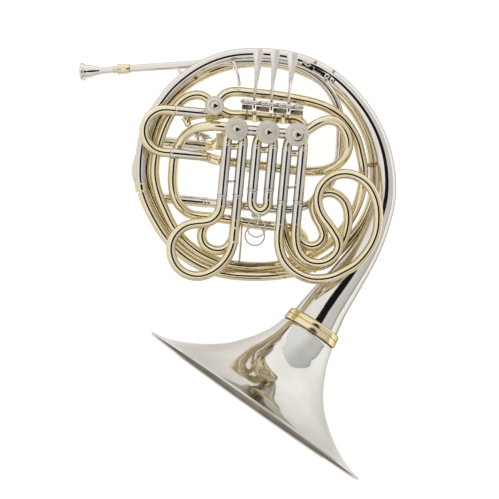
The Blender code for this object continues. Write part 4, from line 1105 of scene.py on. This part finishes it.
def touch_piece(name, lever, body, stands_for):
    """A forged lever: rounded finger end, a crease that leaves a bright
    facet along its left side, and a neck that narrows towards the hinge."""
    hx = lever["hinge"]
    hy = hinge_y(hx)
    lefts = lever["left"] + [(hx - 1.3, hy - 3.5)]
    rights = lever["right"] + [(hx + 1.3, hy - 3.5)]
    rows = []
    for i in range(len(lefts) - 1):
        for j in range(5):
            t = j / 5
            rows.append([lefts[i][k] * (1 - t) + lefts[i + 1][k] * t for k in range(2)]
                        + [rights[i][k] * (1 - t) + rights[i + 1][k] * t for k in range(2)])
    rows.append([*lefts[-1], *rights[-1]])
    verts, faces, rings = [], [], []
    many = len(rows)
    for i, (lx, ly, rx, ry) in enumerate(rows):
        pull = 1.0
        drop = 0.0
        if i < 5:  # the tip is rounded over
            t = i / 5
            pull = math.sqrt(max(0.0, 1 - (1 - t) ** 2.6)) * 0.16 + 0.84
            drop = (1 - t) ** 2 * 0.5
        mx, my = (lx + rx) / 2, (ly + ry) / 2
        lx, rx = mx + (lx - mx) * pull, mx + (rx - mx) * pull
        crease = 0.42
        section = [
            (0.0, LEVER_W - 0.5 - drop), (0.05, LEVER_W + 0.2 - drop), (crease, LEVER_W + 2.35 - drop),
            (crease + 0.04, LEVER_W + 2.4 - drop), (0.95, LEVER_W + 0.3 - drop), (1.0, LEVER_W - 0.4 - drop),
            (0.9, LEVER_W - 0.9 - drop), (0.1, LEVER_W - 0.95 - drop)]
        rings.append(len(verts))
        for t, w in section:
            verts.append(put(lx + (rx - lx) * t, ly + (ry - ly) * t, w))
    n = 8
    for a, b in zip(rings, rings[1:]):
        for k in range(n):
            m = (k + 1) % n
            faces.append((a + k, a + m, b + m, b + k))
    faces.append(tuple(reversed(range(n))))
    faces.append(tuple(range(rings[-1], rings[-1] + n)))
    return solid(name, verts, faces, LEVER_METAL, body, stands_for, 22.0)


for number, lever in LEVERS.items():
    hx = lever["hinge"]
    hy = hinge_y(hx)
    body = f"lever_{number}"
    touch_piece(f"finger_lever_{number}_plate", lever, body, (f"finger_lever_{number}",))
    turned(f"finger_lever_{number}_knuckle", put(hx, hy, LEVER_W), hinge_way,
           eased([(-3.5, 1.45), (3.5, 1.45), (3.5, 2.7), (2.9, 3.1), (1.4, 3.1), (1.0, 2.75), (-1.0, 2.75),
                  (-1.4, 3.1), (-2.9, 3.1), (-3.5, 2.7)], 0.25, 2),
           NICKEL, body, (), sides=48)
    plate(f"finger_lever_{number}_neck",
          [(hx - 1.3, hy - 2.0), (hx + 1.3, hy - 2.0), (hx + 1.3, hy - 4.4), (hx - 1.3, hy - 4.4)],
          LEVER_W - 0.9, LEVER_W + 1.1, NICKEL, body, soft=0.3)
    plate(f"finger_lever_{number}_arm",
          [(hx - 1.1, hy + 5.6), (hx + 1.1, hy + 5.6), (hx + 1.1, hy + 1.9), (hx - 1.1, hy + 1.9)],
          LEVER_W - 0.9, LEVER_W + 0.9, NICKEL, body, soft=0.3)
    turned(f"lever_link_{number}_fine", put(hx, hy + 4.6, 0), UP,
           eased([(CASE_LOW - 2.0, 0.0), (CASE_LOW - 2.0, 1.5), (CASE_LOW + 0.5, 1.5), (CASE_LOW + 0.9, 0.95),
                  (LEVER_W - 5.6, 0.95), (LEVER_W - 5.2, 1.4), (LEVER_W - 2.9, 1.4), (LEVER_W - 2.4, 0.9),
                  (LEVER_W - 2.4, 0.0)][::-1], 0.2, 2),
           STEEL, f"link_{number}", (f"lever_link_{number}",), sides=32)
    # the coil spring on the hinge that brings the lever back up
    coil = []
    for j in range(49):
        a = 2 * math.pi * j / 12
        side = 5.6 + 0.95 * j / 12
        c = put(hx, hy, LEVER_W) + hinge_way * side * 0.001
        across = UP.cross(hinge_way).normalized()
        p = c + (across * math.cos(a) + UP * math.sin(a)) * 0.0021
        coil.append((*p, 0.00038))
    rings = frames(coil, False)
    verts, faces = [], []
    for centre, across, lift, r, along in rings:
        for k in range(8):
            a = 2 * math.pi * k / 8
            verts.append(centre + (across * math.cos(a) + lift * math.sin(a)) * r)
    for i in range(len(rings) - 1):
        for k in range(8):
            m = (k + 1) % 8
            faces.append((i * 8 + k, i * 8 + m, i * 8 + 8 + m, i * 8 + 8 + k))
    faces.append(tuple(reversed(range(8))))
    faces.append(tuple(range(len(verts) - 8, len(verts))))
    solid(f"lever_spring_{number}", verts, faces, STEEL, "horn_body")

strut("lever_bracket_bar",
      [(244.5, hinge_y(244.5) + 1.0, LEVER_W - 9.0), (272.0, hinge_y(272.0) + 1.0, LEVER_W - 9.0),
       (300.0, hinge_y(300.0) + 1.0, LEVER_W - 9.0)], 3.0, 2.8, NICKEL, stands_for=("lever_bracket",))
for k, x in enumerate((247.5, 263.0, 280.5, 296.5)):
    y = hinge_y(x)
    turned(f"hinge_eye_{k}", put(x, y, LEVER_W), hinge_way,
           eased([(-1.7, 1.45), (1.7, 1.45), (1.7, 2.9), (0.9, 3.2), (-0.9, 3.2), (-1.7, 2.9)], 0.25, 2),
           NICKEL, "horn_body", (), sides=40)
    turned(f"hinge_post_{k}", put(x, y, LEVER_W - 9.4), UP,
           eased([(0.0, 0.0), (0.0, 2.0), (1.2, 2.0), (1.8, 1.35), (5.4, 1.25), (6.6, 1.9), (6.6, 0.0)][::-1], 0.2, 2),
           NICKEL, "horn_body", (), sides=32)

# thumb lever, behind the change valve
THUMB_AT = (203.5, 135.0, -38.0)
turned("thumb_lever_knuckle", put(*THUMB_AT), way(0.94, 0.34),
       eased([(-7, 1.5), (7, 1.5), (7, 3.1), (6.2, 3.5), (4.8, 3.1), (-4.8, 3.1), (-6.2, 3.5), (-7, 3.1)], 0.25, 2),
       NICKEL, "thumb_lever", ("thumb_lever",), sides=48)
plate("thumb_lever_paddle",
      [(194.8, 157.0), (197.5, 159.6), (203.0, 161.2), (206.4, 160.2), (206.9, 156.0), (206.2, 147.0),
       (205.8, 138.6), (202.0, 137.2), (199.2, 143.0), (196.0, 151.0)],
      -39.6, -37.2, NICKEL, "thumb_lever", soft=0.7)
turned("thumb_lever_pin_fine", put(195.5, 132.1, -38), put(211.5, 137.9, -38) - put(195.5, 132.1, -38),
       eased([(0.0, 0.0), (0.0, 1.9), (1.3, 1.9), (1.3, 1.1), (19.4, 1.1), (19.4, 1.9), (20.7, 1.9), (20.7, 0.0)][::-1],
             0.2, 2), NICKEL, "horn_body", ("thumb_lever_pin",), sides=32)

# finger hook on the top of the tail
wire("finger_hook_fine",
     [(232.5, 62.0, 9.0, 2.3), (234.0, 63.5, 13.5, 1.9), (236.5, 70.0, 17.5, 1.55), (238.6, 78.0, 18.5, 1.6),
      (239.4, 86.0, 16.5, 1.9)], 1.7, NICKEL, stands_for=("finger_hook",))


# pull rings on the second valve's two slides
def pull_ring(name, node, x, y, w, radius, body):
    centre = put(x, y, w)
    verts, faces = [], []
    around, sides, size = 96, 16, 0.0009
    for k in range(around):
        angle = 2 * math.pi * k / around
        out = Vector((math.cos(angle), math.sin(angle), 0))
        for s in range(sides):
            turn = 2 * math.pi * s / sides
            verts.append(centre + out * (radius * GRID + size * math.cos(turn)) + UP * size * math.sin(turn))
    for k in range(around):
        for s in range(sides):
            a, b = k * sides + s, k * sides + (s + 1) % sides
            c, d = ((k + 1) % around) * sides + s, ((k + 1) % around) * sides + (s + 1) % sides
            faces.append((a, c, d, b))
    return solid(name, verts, faces, NICKEL, body, (node,))


pull_ring("f_slide_2_ring_fine", "f_slide_2_pull_ring", 256.5, 228.0, STOREY_F, 9.0, "f_slide_2")
pull_ring("b_slide_2_ring_fine", "b_slide_2_pull_ring", 254.8, 235.8, STOREY_B, 9.6, "b_slide_2")

# ------------------------------------------- fittings soldered on the body
# the hinge barrel between the levers, its underside band and its legs
for k, (x0, x1) in enumerate(((241.8, 245.6), (249.2, 250.9), (264.7, 268.0), (282.2, 285.3), (298.2, 302.4))):
    long = (put(x1, hinge_y(x1), LEVER_W) - put(x0, hinge_y(x0), LEVER_W)).length * 1000.0
    ribs, at = [(0.0, 1.3)], 0.0
    ribs.append((0.0, 2.9))
    while at < long - 1.3:
        ribs += [(at + 0.3, 3.1), (at + 0.75, 3.1), (at + 0.95, 2.75), (at + 1.15, 2.75)]
        at += 1.25
    ribs += [(long, 2.9), (long, 1.3)]
    turned(f"hinge_barrel_{k}", put(x0, hinge_y(x0), LEVER_W), hinge_way, ribs[::-1], NICKEL,
           "horn_body", (), 40, 30.0)
for k, (x0, x1) in enumerate(((242.0, 252.2), (255.9, 269.3), (273.1, 286.5), (290.3, 302.8))):
    xm = (x0 + x1) / 2
    strut(f"hinge_underband_{k}",
          [(x0, hinge_y(x0) + 5.2, LEVER_W - 3.6), (xm, hinge_y(xm) + 5.2, LEVER_W - 3.6),
           (x1, hinge_y(x1) + 5.2, LEVER_W - 3.6)], 5.4, 3.6, SOLDER, soft=1.2)
    for j, (s, size) in enumerate(((x0 + 2.2, 1.5), (x1 - 2.6, 1.2))):
        turned(f"hinge_screw_{k}_{j}", put(s, hinge_y(s) + 5.0, LEVER_W - 2.2), UP,
               eased([(0.0, 0.0), (0.0, size), (1.0, size), (1.0, 0.0)][::-1], 0.25, 2),
               STEEL if j else DARK, "horn_body", (), 24)
    wire(f"hinge_edge_{k}", [(x0, hinge_y(x0) + 7.6, LEVER_W - 4.6), (xm, hinge_y(xm) + 7.6, LEVER_W - 4.6),
                             (x1, hinge_y(x1) + 7.6, LEVER_W - 4.6)], 0.9, NICKEL)
for k, (xa, ya, xb, yb, wide) in enumerate(((254.2, 111.5, 254.6, 122.5, 5.2), (282.8, 114.0, 283.4, 124.5, 5.2))):
    strut(f"hinge_stand_{k}", [(xa, ya, 20.0), (xb, yb, 17.0)], wide, 3.2, BRASS, soft=0.8)
    turned(f"hinge_stand_screw_{k}", put(xa + 0.1, ya + 2.6, 19.0), UP,
           eased([(0.0, 0.0), (0.0, 1.9), (3.4, 1.9), (3.4, 0.0)][::-1], 0.3, 2), STEEL, "horn_body",
           (), 28)
for k, (xa, ya, xb, yb) in enumerate(((246.8, 109.0, 247.4, 114.6), (274.8, 112.0, 275.3, 118.4),
                                      (301.4, 114.0, 302.2, 119.4))):
    wire(f"hinge_leg_{k}", [(xa, ya, 22.0), ((xa + xb) / 2, (ya + yb) / 2, 19.5), (xb, yb, 12.0)], 1.0, BRASS)

# lugs of the pull rings and the rod that carries the lower one
turned("f_slide_2_ring_lug", put(259.4, 213.0, STOREY_F + 1.0), way(-0.16, 1.0),
       eased([(0.0, 0.0), (0.0, 3.2), (3.0, 3.0), (5.0, 2.0), (8.6, 1.5), (8.6, 0.0)][::-1], 0.4, 2),
       NICKEL, "f_slide_2", (), 32)
turned("b_slide_2_ring_lug", put(259.0, 214.6, STOREY_B - 0.5), way(-0.2, 1.0),
       eased([(0.0, 0.0), (0.0, 3.0), (3.0, 2.8), (5.0, 1.7), (12.4, 1.4), (12.4, 0.0)][::-1], 0.4, 2),
       NICKEL, "b_slide_2", (), 32)

# the upright stay between the body's inner and outer tubing
wire("body_stay", [(242.0, 222.0, -1.0), (240.8, 244.0, 0.0), (239.2, 262.0, 2.0)], 1.25, NICKEL)
strut("body_stay_foot", [(230.5, 263.2, 5.6), (245.0, 264.6, 6.2), (262.0, 265.4, 4.8), (274.5, 264.4, -1.4)],
      3.0, 2.6, SOLDER, soft=0.8)
turned("f_slide_1_knurled_ferrule", put(234.75, 227.0, STOREY_F), way(-0.09, 1.0),
       eased([(0.0, 5.8), (20.0, 5.8), (20.0, 6.5), (18.8, 6.7), (17.6, 6.3), (2.4, 6.3), (1.2, 6.7),
              (0.0, 6.5)][::-1], 0.3, 2), BRASS, "f_slide_1", (), 56)

# the water keys' and stays' small fittings on the tail and the branches
for k, (x, y, w, r, high) in enumerate((
        (305.6, 63.5, 6.4, 2.3, 3.4), (309.2, 65.4, 6.4, 2.0, 3.0), (315.0, 62.8, 4.6, 1.7, 2.6),
        (331.2, 79.2, 7.0, 1.9, 2.6), (196.8, 136.0, 16.2, 2.2, 3.0), (254.0, 215.6, 12.6, 2.4, 4.2))):
    turned(f"small_fitting_{k}", put(x, y, w), UP,
           eased([(0.0, 0.0), (0.0, r * 1.25), (0.8, r * 1.25), (1.2, r), (high, r * 0.9),
                  (high + 0.5, r * 0.4), (high + 0.5, 0.0)][::-1], 0.25, 2),
           BRASS if k == 4 else NICKEL, "horn_body" if k != 5 else "b_slide_2", (), 32)
strut("tail_saddle", [(302.0, 63.8, 8.2), (308.0, 66.4, 8.6), (313.0, 69.6, 7.6)], 5.4, 1.8, NICKEL, soft=0.6)
strut("tail_saddle_low", [(322.0, 73.6, 8.0), (328.6, 77.6, 8.6), (334.0, 82.4, 8.0)], 6.0, 1.8, NICKEL, soft=0.6)
for k, (x, y, r) in enumerate(((308.0, 64.6, 2.6), (303.8, 62.2, 1.6), (315.2, 62.6, 2.0), (326.8, 76.4, 2.8),
                               (331.6, 80.6, 2.4), (334.0, 71.2, 1.5), (325.4, 80.0, 2.2))):
    turned(f"tail_fitting_{k}", put(x, y, 8.6 if k not in (2, 5) else 5.6), UP,
           eased([(0.0, 0.0), (0.0, r * 1.2), (1.0, r * 1.2), (1.6, r * 0.8), (3.0, r), (3.6, r * 0.6),
                  (3.6, 0.0)][::-1], 0.3, 2), (STEEL if k in (2, 5) else NICKEL), "horn_body", (), 28)
wire("tail_fitting_rod", [(314.0, 69.0, 10.0), (318.0, 71.2, 10.4), (323.6, 74.6, 10.0)], 1.3, DARK)
strut("tail_gusset", [(177.0, 68.5, -12.0, 3.0), (180.5, 72.0, -8.0, 4.6), (184.5, 75.0, -3.0, 6.4)], 4.0, 2.6,
      NICKEL, soft=0.8)
strut("outer_stay", [(364.0, 164.6, -3.0, 5.4), (366.4, 164.8, -4.0, 3.0), (371.5, 165.2, -6.0, 5.4)], 3.0, 3.0,
      SOLDER, soft=0.7)
strut("tail_stay", [(313.6, 263.5, 6.0), (314.2, 268.0, 5.0), (315.0, 272.5, 6.0)], 3.0, 2.6, NICKEL, soft=0.6)
strut("lower_stay", [(198.4, 132.5, 16.0, 3.8), (198.2, 136.0, 14.6, 2.4), (198.0, 140.0, 8.0, 3.8)], 3.0, 2.6,
      BRASS, soft=0.6)
for k, (x, y) in enumerate(((248.6, 163.0), (247.8, 171.0))):
    turned(f"sleeve_eye_{k}", put(x, y, STOREY_F - 2.0), UP,
           eased([(0.0, 0.9), (0.0, 2.0), (2.2, 2.0), (2.2, 0.9)][::-1], 0.3, 2), NICKEL, "horn_body", (), 32)
strut("change_valve_bracket", [(219.6, 133.5, 15.0, 8.4), (219.8, 141.0, 15.5, 7.2), (219.0, 150.0, 14.5, 9.0)], 8.0,
      3.4, SATIN_BRASS, soft=1.4)
turned("change_valve_bracket_screw", put(219.0, 146.6, 16.0), UP,
       eased([(0.0, 0.0), (0.0, 1.6), (1.7, 1.6), (1.7, 0.0)][::-1], 0.3, 2), SOLDER, "horn_body", (), 28)
tube("f_tuning_upper_elbow", [(203.6, 113.5, 14.0), (208.0, 114.0, 13.0), (212.5, 112.8, 9.0), (214.8, 108.0, 5.0)],
     BRASS, radius=5.7, deep=2.0)
tube("change_valve_spur", [(205.5, 118.6, 3.0), (212.0, 117.8, 3.0), (219.0, 116.0, 2.0), (225.0, 114.2, 2.0)],
     BRASS, radius=4.6, deep=2.0)
strut("change_valve_foot", [(214.6, 112.0, 12.0), (214.4, 119.6, 10.0)], 9.0, 4.0, SATIN_BRASS, soft=1.4)
collar("leadpipe_joint", (205.5, side_y(205.5, MAIN_LOW), MAIN_W), way(0.9955, 0.0947), 5.7, 6.0, NICKEL)
for k, (x, y, a, b) in enumerate(((194.6, 77.2, -1.6, 4.0), (171.0, 114.6, -1.0, 2.0))):
    strut(f"branch_clip_{k}", [(x - 2.4, y - 1.6, a, 4.4), (x, y, a + 1.0, 3.0), (x + 2.4, y + 1.6, a, 4.4)], 3.4, 2.6,
          SOLDER, soft=0.6)


# ------------------------------------------------ CAD nodes that stay in view
METALS = {"rotor_steel": STEEL, "nickel_silver": NICKEL, "yellow_brass": BRASS,
          "rotor_cap_metal": CAP_METAL}
for name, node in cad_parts.items():
    if node.type != "MESH":
        continue
    for k in range(len(node.material_slots)):
        old = node.material_slots[k].material
        label = old.name if old else ""
        chosen = STEEL if name.startswith(("rotor_", "lever_link")) else NICKEL
        for word, metal in METALS.items():
            if word in label:
                chosen = metal
        node.material_slots[k].material = chosen
